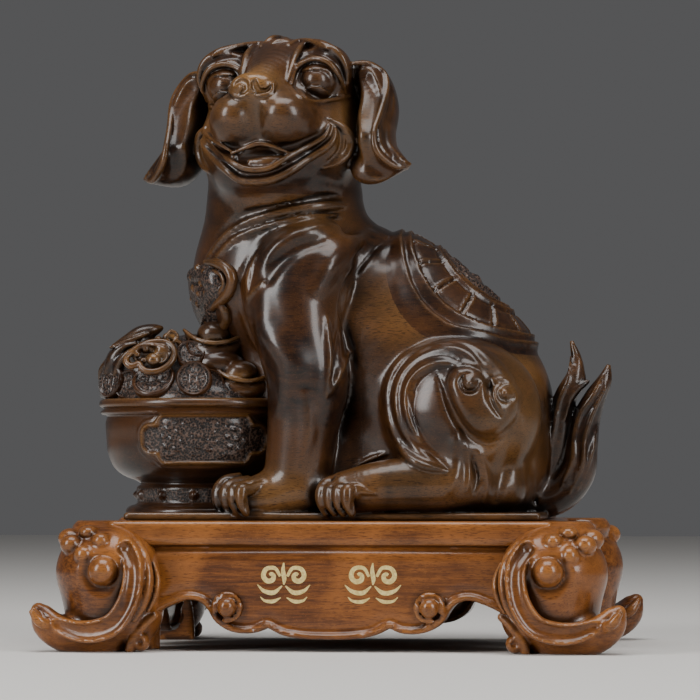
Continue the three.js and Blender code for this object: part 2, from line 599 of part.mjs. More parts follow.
// Fewer triangles on the same surface: the edge whose loss moves the surface least goes first. care
// says how much a move counts at a place.
function thinOut({ places, triangles }, goal, care) {
  const count = places.length / 3;
  const errors = new Float64Array(count * 10);
  const around = Array.from({ length: count }, () => new Set());
  const versions = new Uint32Array(count);
  const at = (v) => [places[3 * v], places[3 * v + 1], places[3 * v + 2]];
  const cross = ([ax, ay, az], [bx, by, bz]) => [ay * bz - az * by, az * bx - ax * bz, ax * by - ay * bx];
  const minus = (a, b) => [a[0] - b[0], a[1] - b[1], a[2] - b[2]];
  const dot = (a, b) => a[0] * b[0] + a[1] * b[1] + a[2] * b[2];
  const faceNormal = (a, b, c) => cross(minus(b, a), minus(c, a));
  triangles.forEach((triangle, n) => {
    const [a, b, c] = triangle.map(at);
    const normal = faceNormal(a, b, c);
    const area = span(...normal);
    triangle.forEach((v) => around[v].add(n));
    if (area < 1e-9) return;
    const [nx, ny, nz] = normal.map((value) => value / area);
    const d = -dot([nx, ny, nz], a);
    const weight = area / 6 * care(...a);
    const terms = [nx * nx, nx * ny, nx * nz, nx * d, ny * ny, ny * nz, ny * d, nz * nz, nz * d, d * d];
    triangle.forEach((v) => terms.forEach((term, i) => { errors[10 * v + i] += term * weight; }));
  });
  const sum = (a, b) => Array.from({ length: 10 }, (_, i) => errors[10 * a + i] + errors[10 * b + i]);
  const errorAt = (q, [x, y, z]) => q[0] * x * x + 2 * q[1] * x * y + 2 * q[2] * x * z + 2 * q[3] * x
    + q[4] * y * y + 2 * q[5] * y * z + 2 * q[6] * y + q[7] * z * z + 2 * q[8] * z + q[9];
  const best = (a, b) => {
    const q = sum(a, b);
    const [pa, pb] = [at(a), at(b)];
    const middle = pa.map((value, i) => (value + pb[i]) / 2);
    const choices = [middle, pa, pb];
    const pull = 1e-3 * (q[0] + q[4] + q[7]);
    const [m0, m4, m7] = [q[0] + pull, q[4] + pull, q[7] + pull];
    const right = [-q[3] + pull * middle[0], -q[6] + pull * middle[1], -q[8] + pull * middle[2]];
    const [c0, c1, c2] = [m4 * m7 - q[5] * q[5], q[2] * q[5] - q[1] * m7, q[1] * q[5] - q[2] * m4];
    const size = m0 * c0 + q[1] * c1 + q[2] * c2;
    if (Math.abs(size) > 1e-12) {
      const [c4, c5, c8] = [m0 * m7 - q[2] * q[2], q[1] * q[2] - m0 * q[5], m0 * m4 - q[1] * q[1]];
      const point = [dot([c0, c1, c2], right) / size, dot([c1, c4, c5], right) / size,
        dot([c2, c5, c8], right) / size];
      if (span(...minus(point, middle)) < 2 * span(...minus(pa, pb))) choices.unshift(point);
    }
    let [chosen, least] = [null, Infinity];
    for (const point of choices) {
      const found = errorAt(q, point);
      if (found < least) [chosen, least] = [point, found];
    }
    return [Math.max(least, 0) + 2e-4 * span(...minus(pa, pb)) ** 2, chosen];
  };
  const queue = [];
  const sink = (i) => {
    for (;;) {
      let small = i;
      for (const child of [2 * i + 1, 2 * i + 2]) {
        if (child < queue.length && queue[child][0] < queue[small][0]) small = child;
      }
      if (small === i) return;
      [queue[i], queue[small]] = [queue[small], queue[i]];
      i = small;
    }
  };
  const push = (item) => {
    let i = queue.push(item) - 1;
    while (i > 0) {
      const parent = (i - 1) >> 1;
      if (queue[parent][0] <= queue[i][0]) break;
      [queue[i], queue[parent]] = [queue[parent], queue[i]];
      i = parent;
    }
  };
  const pop = () => {
    const top = queue[0];
    const last = queue.pop();
    if (queue.length) {
      queue[0] = last;
      sink(0);
    }
    return top;
  };
  const offer = (a, b) => {
    const [cost, point] = best(a, b);
    push([cost, a, b, versions[a], versions[b], point]);
  };
  const neighbours = (v) => {
    const found = new Set();
    around[v].forEach((n) => triangles[n].forEach((other) => other !== v && found.add(other)));
    return found;
  };
  const keepsFacing = (v, other, point) => {
    for (const n of around[v]) {
      const triangle = triangles[n];
      if (triangle.includes(other)) continue;
      const before = triangle.map(at);
      const after = triangle.map((w) => (w === v ? point : at(w)));
      const [one, two] = [faceNormal(...before), faceNormal(...after)];
      const [a, b] = [span(...one), span(...two)];
      if (b < 1e-4 || dot(one, two) < 0.3 * a * b) return false;
      const longest = Math.max(...[0, 1, 2].map((i) => span(...minus(after[i], after[(i + 1) % 3]))));
      if (b < 0.06 * longest * longest) return false;
    }
    return true;
  };
  triangles.forEach((triangle) => triangle.forEach((a, i) => {
    const b = triangle[(i + 1) % 3];
    if (a < b) offer(a, b);
  }));
  let left = triangles.length;
  while (left > goal && queue.length) {
    const [, a, b, va, vb, point] = pop();
    if (versions[a] !== va || versions[b] !== vb || !around[a].size || !around[b].size) continue;
    const near = neighbours(a);
    const shared = [...neighbours(b)].filter((v) => near.has(v));
    if (shared.length !== 2 || !keepsFacing(a, b, point) || !keepsFacing(b, a, point)) continue;
    sum(a, b).forEach((value, i) => { errors[10 * a + i] = value; });
    point.forEach((value, i) => { places[3 * a + i] = value; });
    for (const n of around[b]) {
      const triangle = triangles[n];
      if (triangle.includes(a)) {
        triangle.forEach((v) => around[v].delete(n));
        triangles[n] = null;
        left -= 1;
      } else {
        triangle[triangle.indexOf(b)] = a;
        around[a].add(n);
      }
    }
    around[b].clear();
    versions[a] += 1;
    versions[b] += 1;
    neighbours(a).forEach((v) => offer(Math.min(a, v), Math.max(a, v)));
  }
  return { places, triangles: triangles.filter(Boolean) };
}

function solidOf({ places, triangles }) {
  const used = new Map();
  const vertices = [];
  const number = (v) => {
    if (!used.has(v)) {
      used.set(v, vertices.length / 3);
      vertices.push(places[3 * v], places[3 * v + 1], places[3 * v + 2]);
    }
    return used.get(v);
  };
  const corners = triangles.flatMap((triangle) => triangle.map(number));
  return new wasm.Manifold(new wasm.Mesh({ numProp: 3, vertProperties: new Float32Array(vertices),
    triVerts: new Uint32Array(corners) }));
}

// Half of space as a large box, its top or its bottom at the height given
function largeBox(bottom, top) {
  const size = 800;
  const box = new THREE.BoxGeometry(size, size, top - bottom).translate(0, 0, (top + bottom) / 2);
  box.deleteAttribute('normal');
  box.deleteAttribute('uv');
  const merged = mergeVertices(box);
  return new wasm.Manifold(new wasm.Mesh({ numProp: 3,
    vertProperties: new Float32Array(merged.attributes.position.array),
    triVerts: new Uint32Array(merged.index.array) }));
}

// The largest closed skin alone, so that no crumb of the carving is left loose
function largest(solid) {
  const bodies = solid.decompose();
  return bodies.reduce((a, b) => (b.volume() > a.volume() ? b : a));
}

function mesh(name, solid, material) {
  const { vertProperties, triVerts } = solid.getMesh();
  const geometry = new THREE.BufferGeometry();
  geometry.setAttribute('position', new THREE.BufferAttribute(new Float32Array(vertProperties), 3));
  geometry.setIndex(new THREE.BufferAttribute(new Uint32Array(triVerts), 1));
  const found = new THREE.Mesh(geometry, material);
  found.name = name;
  return found;
}

const lacquer = new THREE.MeshStandardMaterial({ color: 0x3b1f12, roughness: 0.22, metalness: 0 });
const stainedWood = new THREE.MeshStandardMaterial({ color: 0x7a4420, roughness: 0.3, metalness: 0 });

// The face, the scrolls of the near thigh and the heap are cut finer than the back and the far side
function figureCare(x, y, z) {
  if (y > 12) return 0.35;
  if (z > 225) return y < -25 && x > -75 && x < 12 ? 14 : 3;
  if (x > 24 && x < 92 && z > 94 && z < 155 && y < -40) return 2.5;
  return x < -34 && z > 112 ? 4 : 1;
}

const figureSkin = thinOut(skin(figureDepth, [-130, -72, 56], [138, 72, 312], figureGrain), figureFacets,
  figureCare);
const figureSolid = largest(solidOf(figureSkin).intersect(largeBox(figureFoot, 400)));
const plinthSkin = thinOut(skin(plinthDepth, [-152, -104, -12], [152, 104, 70], plinthGrain), plinthFacets,
  () => 1);
const plinthSolid = largest(solidOf(plinthSkin).intersect(largeBox(0, slabTop)));

const group = new THREE.Group();
group.add(mesh('plinth', plinthSolid, stainedWood));
group.add(mesh('dog_with_treasure_bowl', figureSolid, lacquer));

export default group;
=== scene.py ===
"""A carved dog sitting beside a bowl of treasure on a scroll-footed plinth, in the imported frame.

Lengths are in millimetres until a mesh is made, and then in metres.
"""
from math import atan, cos, degrees, pi, radians, sin

import bpy
import numpy as np
from mathutils import Euler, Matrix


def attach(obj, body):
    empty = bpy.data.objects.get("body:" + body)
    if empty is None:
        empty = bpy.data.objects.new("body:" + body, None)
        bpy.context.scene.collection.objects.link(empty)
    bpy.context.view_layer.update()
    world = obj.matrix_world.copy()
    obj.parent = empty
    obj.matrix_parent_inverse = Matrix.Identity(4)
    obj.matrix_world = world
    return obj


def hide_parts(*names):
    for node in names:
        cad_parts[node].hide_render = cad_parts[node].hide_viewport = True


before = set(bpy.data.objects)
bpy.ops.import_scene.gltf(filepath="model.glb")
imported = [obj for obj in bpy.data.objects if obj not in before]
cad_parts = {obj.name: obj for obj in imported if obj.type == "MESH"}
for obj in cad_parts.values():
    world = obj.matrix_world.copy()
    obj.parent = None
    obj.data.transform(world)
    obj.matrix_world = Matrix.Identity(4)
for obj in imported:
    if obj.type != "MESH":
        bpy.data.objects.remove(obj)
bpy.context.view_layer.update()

# The plinth's top and its apron: a board with soft edges on a bowed apron whose lower edge hangs in
# a belly between two arches. Orange-brown stained wood, carved and glossed with the corners.
slab_half_length = 108
slab_half_depth = 75
slab_top = 63
slab_thickness = 12
apron_half_length = 101
apron_half_depth = 74
apron_thickness = 15
groove_height = 50.2
mm = 0.001
far_off = 1e3
on_both = True
once = False


def span(*parts):
    """The length of a vector from its parts: the root of the sum of their squares."""
    return np.sqrt(sum(part * part for part in parts))


def swell(gap, width):
    """A rounded ridge: one at no gap, falling off as a bell of the width given."""
    return np.exp(-((gap / width) ** 2))


def smallest(a, b, soft):
    """The lesser of two depths; where they differ by less than soft, a fillet joins them."""
    near = np.maximum(soft - np.abs(a - b), 0) / soft
    return np.minimum(a, b) - near * near * soft / 4


def egg(middle, radii, turn=(0, 0, 0)):
    """An egg: a point's distance from the middle counted in radii, less one, over its slope."""
    axes = np.array(Euler([radians(angle) for angle in turn]).to_matrix())
    radii = np.array(radii, float)

    def depth(points):
        parts = (points - middle) @ axes / radii
        near = span(*parts.T)
        return near * (near - 1) / np.maximum(span(*(parts / radii).T), 1e-9)
    return depth, np.array(middle, float), radii.max()


def ball_at(middle, radius):
    """A ball, as an egg of one radius."""
    return egg(middle, (radius, radius, radius))


def smooth_line(knots, pieces):
    """Points on a smooth curve through the knots: cubics whose ends lean on the root of the gaps."""
    knots = np.array(knots, float)
    run = np.vstack([2 * knots[0] - knots[1], knots, 2 * knots[-1] - knots[-2]])
    gap = np.maximum(np.linalg.norm(np.diff(run, axis=0), axis=1)[:, None] ** 0.5, 1e-3)
    before, a, b, after = run[:-3], run[1:-2], run[2:-1], run[3:]
    g0, g1, g2 = gap[:-2], gap[1:-1], gap[2:]
    lean_a = ((a - before) / g0 - (b - before) / (g0 + g1) + (b - a) / g1) * g1
    lean_b = ((b - a) / g1 - (after - a) / (g1 + g2) + (after - b) / g2) * g1
    t = (np.arange(pieces) / pieces)[:, None, None]
    points = (a + lean_a * t + (3 * (b - a) - 2 * lean_a - lean_b) * t ** 2
              + (2 * (a - b) + lean_a + lean_b) * t ** 3)
    return np.vstack([points.transpose(1, 0, 2).reshape(-1, knots.shape[1]), knots[-1:]])


def stretches(line, places):
    """For each straight stretch of a line whose last column is a radius: how far the places are from
    it, and the radius at its point nearest to each."""
    for a, b in zip(line[:-1], line[1:]):
        start, step = a[:-1], (b - a)[:-1]
        share = np.clip((places - start) @ step / (step @ step), 0, 1)
        away = places - start - share[:, None] * step
        yield np.sqrt(np.einsum("ij,ij->i", away, away)), a[-1] + share * (b - a)[-1]


def limb(knots, flat=(1, 1, 1), pieces=6):
    """A smooth curve through knots (x, y, z, radius), thick by the radius; where flat is small the
    section is wide along that axis."""
    knots = np.array(knots, float)
    flat = np.array(flat, float)
    line = smooth_line(knots * (*flat, 1), pieces)
    line[:, 3] = np.maximum(line[:, 3], 0.05)
    middle = (knots[:, :3].min(0) + knots[:, :3].max(0)) / 2
    reach = (np.linalg.norm(knots[:, :3] - middle, axis=1) + knots[:, 3] / flat.min()).max() + 2

    def depth(points):
        least = np.full(len(points), far_off)
        for away, radius in stretches(line, points * flat):
            np.minimum(least, away - radius, out=least)
        return least
    return depth, middle, reach


def block(middle, half, rounding):
    """A block with rounded edges: the distance outside a smaller block, less the rounding."""
    def depth(points):
        over = np.abs(points - middle) - np.array(half) + rounding
        return span(*np.maximum(over, 0).T) + np.minimum(over.max(1), 0) - rounding
    return depth, np.array(middle, float), float(span(*half))


def add(form, soft=4.0, paired=False):
    """A step that adds a form, with a fillet of the size soft, once or on both sides."""
    return form, soft, paired, 1


def dig(form, soft, paired=False):
    """A step that digs a form out."""
    return form, soft, paired, -1


def shape(change):
    """A step that changes the depth near the surface by a rule of its own."""
    return change, 0, False, 0


deepest_change = 12
fillet_reach = 7


def carve(steps, fold=1):
    """The depth of a point outside the carving, taking the steps in order. Paired forms are those of
    the side where the axis fold is negative, met again on the other side."""
    def depth(points):
        found = np.full(len(points), far_off)
        folded = points.copy()
        folded[:, fold] = -np.abs(points[:, fold])
        centre = points.mean(0)
        spread = np.linalg.norm(points - centre, axis=1).max()
        for form, soft, paired, sign in steps:
            if sign == 0:
                near = np.abs(found) < deepest_change
                found[near] = form(found[near], points[near])
                continue
            measure, middle, reach = form
            here = folded if paired else points
            limit = soft + sign * found
            if not paired and np.linalg.norm(centre - middle) - spread - reach > limit.max():
                continue
            near = np.flatnonzero(np.linalg.norm(here - middle, axis=1) - reach <= limit)
            if len(near):
                found[near] = sign * smallest(sign * found[near], measure(here[near]), soft)
        return found
    return depth


def in_parts(depth_at, points, size=30000):
    """The depth of many points, worked out a part at a time."""
    parts = np.array_split(points, max(1, len(points) // size))
    return np.concatenate([depth_at(part) for part in parts])


def slope_at(depth_at, points, step=0.25):
    """The depth and its slope, from four points set around each place like a pyramid's corners."""
    total = np.zeros(len(points))
    slope = np.zeros_like(points)
    for corner in ((1, 1, 1), (1, -1, -1), (-1, 1, -1), (-1, -1, 1)):
        value = in_parts(depth_at, points + step * np.array(corner))
        total += value / 4
        slope += value[:, None] * corner / (4 * step)
    return total, slope


def skin(depth_at, low, high, cell):
    """A closed skin where the depth is zero: a corner in each lattice cell that the surface crosses,
    at the mean of its crossings of the cell's edges, then slid along the slope onto the surface. The
    lattice is worked out in blocks, and only in those whose middle is near enough to the surface for
    half their diagonal and the reach of a fillet."""
    low = np.array(low, float)
    counts = np.ceil((np.array(high) - low) / cell).astype(int) + 1
    size = 8
    blocks = -(-counts // size)
    starts = np.indices(blocks).reshape(3, -1).T * size
    coarse = in_parts(depth_at, low + (starts + (size - 1) / 2) * cell)
    field = coarse.reshape(blocks)
    for axis in range(3):
        field = np.repeat(field, size, axis)
    field = field[:counts[0], :counts[1], :counts[2]].copy()
    near = starts[np.abs(coarse) < size * cell * 0.87 + fillet_reach]
    steps = np.indices((size,) * 3).reshape(3, -1).T
    for part in np.array_split(near, max(1, len(near) // 60)):
        nodes = (part[:, None] + steps).reshape(-1, 3)
        nodes = nodes[(nodes < counts).all(1)]
        field[tuple(nodes.T)] = depth_at(low + nodes * cell)
    rim = np.ones(field.shape, bool)
    rim[1:-1, 1:-1, 1:-1] = False
    field[rim] = np.maximum(field[rim], cell)
    inside = field < 0
    held = sum(inside[a:a + counts[0] - 1, b:b + counts[1] - 1, c:c + counts[2] - 1].astype(np.int8)
               for a in (0, 1) for b in (0, 1) for c in (0, 1))
    crossed = (held > 0) & (held < 8)
    cells = np.argwhere(crossed)
    number = np.full(crossed.shape, -1)
    number[crossed] = np.arange(len(cells))
    total = np.zeros((len(cells), 3))
    hits = np.zeros(len(cells))
    quads = []
    for axis in range(3):
        along, u, v = np.roll(np.eye(3, dtype=int), -axis, 0)
        for offset in (0 * u, u, v, u + v):
            one = field[tuple((cells + offset).T)]
            two = field[tuple((cells + offset + along).T)]
            cross = (one < 0) != (two < 0)
            t = one[cross] / (one[cross] - two[cross])
            total[cross] += offset + t[:, None] * along
            hits[cross] += 1
        edges = np.argwhere(np.diff(inside, axis=axis))
        ring = np.stack([number[tuple((edges - shift).T)] for shift in (u + v, v, 0 * u, u)], 1)
        outward = inside[tuple(edges.T)]
        quads.append(np.where(outward[:, None], ring, ring[:, ::-1]))
    places = low + (cells + total / hits[:, None]) * cell
    depth, slope = slope_at(depth_at, places)
    move = depth / np.maximum((slope ** 2).sum(1), 0.3)
    places = places - np.clip(move, -0.6 * cell, 0.6 * cell)[:, None] * slope
    return places, np.vstack(quads), slope


def hollows(depth_at, places, slope, off=6.0):
    """How far a place lies in a recess: the solid met at a distance off the surface."""
    way = slope / np.maximum(span(*slope.T), 1e-6)[:, None]
    return np.clip(1 - in_parts(depth_at, places + off * way) / off, 0, 1)


def worn_edges(places, faces):
    """Where edges are rubbed bright: how far a corner stands out past the mean of its neighbours, by
    the square of the cell; it grows as one over the radius of a ridge."""
    ones = np.tile(faces.T.ravel(), 2)
    others = np.concatenate([np.roll(faces, turn, 1).T.ravel() for turn in (-1, 1)])
    number = len(places)
    count = np.bincount(ones, minlength=number)
    mean = np.stack([np.bincount(ones, axis, number) / count for axis in places[others].T], 1)
    first, second, third, fourth = (places[column] for column in faces.T)
    across = np.cross(third - first, fourth - second)
    corners = faces.ravel()
    way = np.stack([np.bincount(corners, np.repeat(axis, 4), number) for axis in across.T], 1)
    out = ((places - mean) * way).sum(1) / np.maximum(span(*way.T), 1e-9)
    cell = span(*(places[ones] - places[others]).T).mean()
    worn = np.clip((out / cell ** 2 - 0.035) / 0.12, 0, 1)
    return 0.5 * worn + 0.5 * np.bincount(ones, worn[others], number) / count


def piece(name, places, faces, node, finish, **marks):
    """A smooth closed mesh from corners in millimetres and rows of face corners; marks are values
    kept for each corner, which the finish reads."""
    mesh = bpy.data.meshes.new(name)
    rows = [np.asarray(row) for row in (faces if isinstance(faces, list) else [faces]) if len(row)]
    corners = np.concatenate([row.ravel() for row in rows])
    sizes = np.concatenate([np.full(len(row), row.shape[1]) for row in rows])
    mesh.vertices.add(len(places))
    mesh.vertices.foreach_set("co", (np.asarray(places) * mm).ravel())
    mesh.loops.add(len(corners))
    mesh.loops.foreach_set("vertex_index", corners.astype(np.int32))
    mesh.polygons.add(len(sizes))
    mesh.polygons.foreach_set("loop_start", np.concatenate([[0], np.cumsum(sizes)[:-1]]))
    mesh.update(calc_edges=True)
    mesh.polygons.foreach_set("use_smooth", np.ones(len(sizes), bool))
    mesh.set_sharp_from_angle(angle=radians(62))
    for mark, values in marks.items():
        layer = mesh.attributes.new(mark, "FLOAT", "POINT")
        layer.data.foreach_set("value", np.asarray(values, np.float32))
    mesh.materials.append(finish)
    made = bpy.data.objects.new(name, mesh)
    bpy.context.scene.collection.objects.link(made)
    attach(made, "root")
    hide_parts(node)


def shader_node(tree, kind, inputs=(), **settings):
    """One shader node with its settings; inputs pairs a socket with a number or another's output."""
    made = tree.nodes.new("ShaderNode" + kind)
    for key, value in settings.items():
        setattr(made, key, value)
    for socket, value in dict(inputs).items():
        if isinstance(value, bpy.types.NodeSocket):
            tree.links.new(value, made.inputs[socket])
        else:
            made.inputs[socket].default_value = value
    return made


def mixed(tree, share, a, b):
    """A colour between a and b by the share."""
    return shader_node(tree, "Mix", {0: share, 6: a, 7: b}, data_type="RGBA").outputs[2]


def worked_out(tree, operation, a, b):
    """A sum on two values."""
    return shader_node(tree, "Math", {0: a, 1: b}, operation=operation).outputs[0]


def mark(tree, name):
    """A value kept for each corner of the mesh."""
    return shader_node(tree, "Attribute", attribute_name=name).outputs["Fac"]


def spread_out(tree, value, low, high, to_low=0.0, to_high=1.0):
    """A value between low and high made to run from one number to another, and held beyond."""
    made = shader_node(tree, "MapRange", {"Value": value, "From Min": low, "From Max": high,
                                          "To Min": to_low, "To Max": to_high})
    return made.outputs[0]


def lacquered(name, deep, middle, warm, bright, roughness, worn_share):
    """Stained wood under gloss: long grain along x in three browns, fine pores, darker stain pooled in the
    recesses with painted shade over it, bright wood where the stain is rubbed thin and painted light on
    lit patches, and a rough greyer ground where stippled."""
    made = bpy.data.materials.new(name)
    made.use_nodes = True
    tree = made.node_tree
    shader = tree.nodes["Principled BSDF"]
    place = shader_node(tree, "TexCoord").outputs["Object"]

    def grain(scale, detail, distortion):
        stretched = shader_node(tree, "Mapping", {"Vector": place, "Scale": scale}).outputs[0]
        return shader_node(tree, "TexNoise", {"Vector": stretched, "Scale": 1.0, "Detail": detail,
                                              "Distortion": distortion}).outputs["Fac"]
    figure = grain((8, 70, 90), 4.0, 1.2)
    streaks = grain((42, 640, 760), 6.0, 0.5)
    pores = grain((300, 2500, 2900), 4.0, 0.2)
    clouds = grain((22, 22, 22), 5.0, 0.9)
    specks = grain((1500, 1700, 1700), 2.0, 0.0)
    colour = mixed(tree, spread_out(tree, streaks, 0.36, 0.64), (*deep, 1), (*middle, 1))
    colour = mixed(tree, spread_out(tree, clouds, 0.42, 0.66, 0, 0.75), colour, (*warm, 1))
    colour = mixed(tree, spread_out(tree, figure, 0.5, 0.7, 0, 0.5), colour, (*warm, 1))
    # Rubbed wear, worn edges and spots of painted light on lit patches brighten the colour.
    rubbed = worked_out(tree, "MAXIMUM", mark(tree, "rubbed"),
                        worked_out(tree, "MULTIPLY", mark(tree, "worn"), worn_share))
    rubbed = worked_out(tree, "MULTIPLY", rubbed, spread_out(tree, clouds, 0.35, 0.6, 0.55, 1))
    colour = mixed(tree, rubbed, colour, (*bright, 1))
    colour = mixed(tree, spread_out(tree, specks, 0.6, 0.72, 0, 0.16), colour, (*bright, 1))
    colour = mixed(tree, spread_out(tree, pores, 0.36, 0.46, 0.75, 0), colour, (*deep, 1))
    # Painted shade, together with stain pooled there, darkens the recesses.
    shade = (*(0.28 * part for part in deep), 1)
    colour = mixed(tree, spread_out(tree, mark(tree, "hollow"), 0.25, 0.95, 0, 0.85), colour, shade)
    stipple = mark(tree, "stipple")
    dots = shader_node(tree, "TexVoronoi", {"Vector": place, "Scale": 900.0}).outputs["Distance"]
    lit = worked_out(tree, "MULTIPLY", spread_out(tree, dots, 0.4, 0.8), stipple)
    colour = mixed(tree, stipple, colour, (*(0.8 * part for part in deep), 1))
    colour = mixed(tree, lit, colour, (*(0.8 * part + 0.03 for part in warm), 1))
    tree.links.new(colour, shader.inputs["Base Color"])
    dots = worked_out(tree, "MULTIPLY", dots, stipple)
    rough = spread_out(tree, stipple, 0, 1, roughness, 0.45)
    tree.links.new(rough, shader.inputs["Roughness"])
    fine = shader_node(tree, "Bump", {"Strength": 0.12, "Distance": 0.0002, "Height": pores})
    pitted = shader_node(tree, "Bump", {"Strength": 0.9, "Distance": 0.0006, "Height": dots,
                                        "Normal": fine.outputs[0]})
    tree.links.new(pitted.outputs[0], shader.inputs["Normal"])
    shader.inputs["Coat Weight"].default_value = 0.5
    shader.inputs["Coat Roughness"].default_value = 0.17
    shader.inputs["Specular IOR Level"].default_value = 0.2
    return made


plinth_wood = lacquered("plinth_stained_wood", deep=(0.06, 0.018, 0.005), middle=(0.17, 0.056, 0.012),
                        warm=(0.27, 0.095, 0.021), bright=(0.42, 0.18, 0.05), roughness=0.28,
                        worn_share=0.4)


def drawn(knots):
    """The distance of places (x, z) from a smooth line drawn through knots in a flat view."""
    line = smooth_line(np.column_stack([knots, np.zeros(len(knots))]), 5)
    return lambda x, z: np.min([away for away, _ in stretches(line, np.stack([x, z], 1))], axis=0)


# The front apron's lower edge on one side of the middle, as places across and up: the belly's middle
# lobe ends in a cusp, a smaller lobe follows, and then the arch falls to the foot.
middle_lobe = [[0, 6], [12, 6.4], [22, 8], [29.5, 11.6]]
side_lobe_and_arch = [[30.3, 11.4], [34, 9.6], [41, 8.8], [49, 10.4], [55.5, 15], [58.5, 20], [62, 23.6],
                      [68, 25], [76, 22.6], [84, 18.6], [90, 14], [94, 6], [95.5, -5]]
side_edge = [[0, 7], [12, 7.6], [17, 11], [22, 17], [30, 21.4], [39, 21], [47, 16], [51, 8], [52, -5]]
front_line = np.vstack([smooth_line(middle_lobe, 5), smooth_line(side_lobe_and_arch, 5)])
side_line = smooth_line(side_edge, 5)
front_lip = (drawn(middle_lobe), drawn(side_lobe_and_arch))
side_lip = (drawn(side_edge),)


def bowed(a, half):
    """How far an apron bows out: most in the middle, nothing at its ends."""
    return 3 * (1 - (a / half) ** 2)


def rolled_lip(lines, a, z):
    """The bead along a lower edge: a round ridge a little inside the nearest of its lines."""
    rise = np.zeros(len(a))
    near = z < 32
    gap = np.min([line(a[near], z[near]) for line in lines], axis=0)
    rise[near] = 2.2 * swell(gap - 1.5, 1.5) - 0.8 * swell(gap - 4.6, 1.4)
    return rise


def apron_depth(points):
    """The depth outside the apron's four walls, with a rolled lip along the lower edge and a dark
    groove under the slab."""
    x, y, z = points.T
    a, b = np.abs(x), np.abs(y)
    front = b - apron_half_depth - bowed(x, slab_half_length) + 2
    side = a - apron_half_length - bowed(y, slab_half_depth)
    wall = np.maximum(np.maximum(front, side), np.minimum(-front, -side) - apron_thickness)
    on_front = front > side
    below = np.where(on_front, np.interp(a, *front_line.T), np.interp(b, *side_line.T)) - z
    lip = np.where(on_front, rolled_lip(front_lip, a, z), rolled_lip(side_lip, b, z))
    lip = np.where(np.abs(wall) < 6, lip, 0) - 2.6 * swell(z - groove_height, 2.2)
    return np.maximum(np.maximum(wall - lip, below), z - (slab_top - slab_thickness + 1))


boss_at = np.array([49, 77.5, 21.5])
curl_radius = 6.4
slab_steps = [add((apron_depth, np.array([0, 0, 30.0]), 160), 1)]
for across, deep in ((1, -1), (-1, -1), (1, 1), (-1, 1)):
    slab_steps.append(add(egg(boss_at * (across, deep, 1), (4.7, 4.4, 4.7)), 0.4))
slab_steps.append(add(block((0, 0, slab_top - slab_thickness / 2),
                            (slab_half_length, slab_half_depth, slab_thickness / 2), 2.6), 1))
for across in (-1, 1):
    curl = [[across * (boss_at[0] + curl_radius * cos(turn)), 0.9 - boss_at[1],
             boss_at[2] + curl_radius * sin(turn), 1.3] for turn in np.radians(np.arange(-20, 281, 30))]
    slab_steps.append(add(limb(curl, pieces=3), 0.5, on_both))
slab_and_apron = carve(slab_steps)


def above(depth_at, height):
    """A carving cut off level at a height, with what is above it kept."""
    return lambda points: np.maximum(depth_at(points), height - points[:, 2])


places, faces, slope = skin(above(slab_and_apron, 0.06), (-112, -88, -2), (112, 88, 66), 1.6)
piece("plinth_slab_and_apron", places, faces, "plinth", plinth_wood,
      hollow=hollows(slab_and_apron, places, slope), worn=worn_edges(places, faces))

# The four scroll corners: a swelling knee, a C-scroll band around a ball, bosses at the slab and a
# lifted toe. Carved with the plinth; the four are the same shape, turned over about the middle.
corner_band = [[104, -74, 53.5, 4], [97, -84, 50.5, 4.6], [92.5, -91, 43, 5], [92, -94.5, 33, 5.2],
               [94.5, -96, 23, 5.4], [101, -96, 14, 5.6], [110.5, -94.5, 10.5, 5.6],
               [120, -92, 10.5, 5.2], [129, -88.5, 13.5, 4.2], [135.5, -85, 19, 2.6]]
band_hollow = [[x, y - 5.6, z, radius - 0.9] for x, y, z, radius in corner_band[1:-1]]
corner_steps = [
    add(egg((108, -68, 38), (26, 25, 24)), 6),
    add(egg((106, -66, 20), (24, 24, 22)), 6),
    dig(egg((109, -99, 37), (15, 10, 15)), 2),
    add(limb([[92, -80, 52, 2], [87.5, -86, 45, 2.4], [85.5, -89, 35, 2.6], [87.5, -90.5, 24, 2.4],
              [92, -91, 16, 1.6]], pieces=5), 1),
    add(limb([[84, -82, 43, 1], [81.6, -85, 35, 1.6], [82.6, -86, 27, 1.6], [86, -86, 20, 1]]), 0.8),
    add(limb(corner_band, pieces=5), 1),
    dig(limb(band_hollow, pieces=5), 0.5),
    add(egg((107, -91, 39), (7.3, 7.6, 7.3)), 0.5),
    add(limb([[110, -74, 6, 10], [126, -80, 8, 9], [136, -82, 13, 7], [140, -83, 20, 3.6]]), 4),
    add(egg((109, -85, 53.4), (4.6, 5, 4.2)), 0.9),
    add(egg((117, -87.2, 46.6), (4.8, 5, 4.8)), 0.9),
    add(egg((124, -82, 51.6), (5.6, 6, 5)), 0.9),
    add(egg((116, -80, 57.4), (5, 6, 3.6)), 1),
    add(egg((126.6, -71.6, 54.4), (6, 6.4, 5)), 1.6),
    add(limb([[84, -80, 17.5, 2], [89, -81.5, 13, 2.4], [94, -82, 6.5, 2.6], [95.5, -82, 1, 2.4]]), 0.8),
    add(egg((90.5, -80, 4.8), (4.6, 5, 4.6)), 0.5),
    dig(egg((90.5, -86, 4.8), (2.4, 3, 2.4)), 0.4),
    add(egg((114, -60, 58), (14, 14, 8)), 3),
]
for i in range(5):
    tip = (141.5 - 0.3 * abs(i - 2), -84 + 5.2 * (i - 2), 21 - 0.8 * abs(i - 2))
    corner_steps.append(add(limb([[130, -81 + 2.6 * (i - 2), 12, 2.4], [137.5, tip[1] + 1, 15, 2.6],
                                  [*tip, 1.5]]), 0.6))
corner = carve(corner_steps)
flat_corner = lambda points: np.maximum(above(corner, 0.06)(points), points[:, 2] - slab_top)
places, faces, slope = skin(flat_corner, (76, -106, -3), (150, -36, 66), 1.05)
shade, worn = hollows(corner, places, slope), worn_edges(places, faces)
sides = [(1, 1), (-1, 1), (-1, -1), (1, -1)]
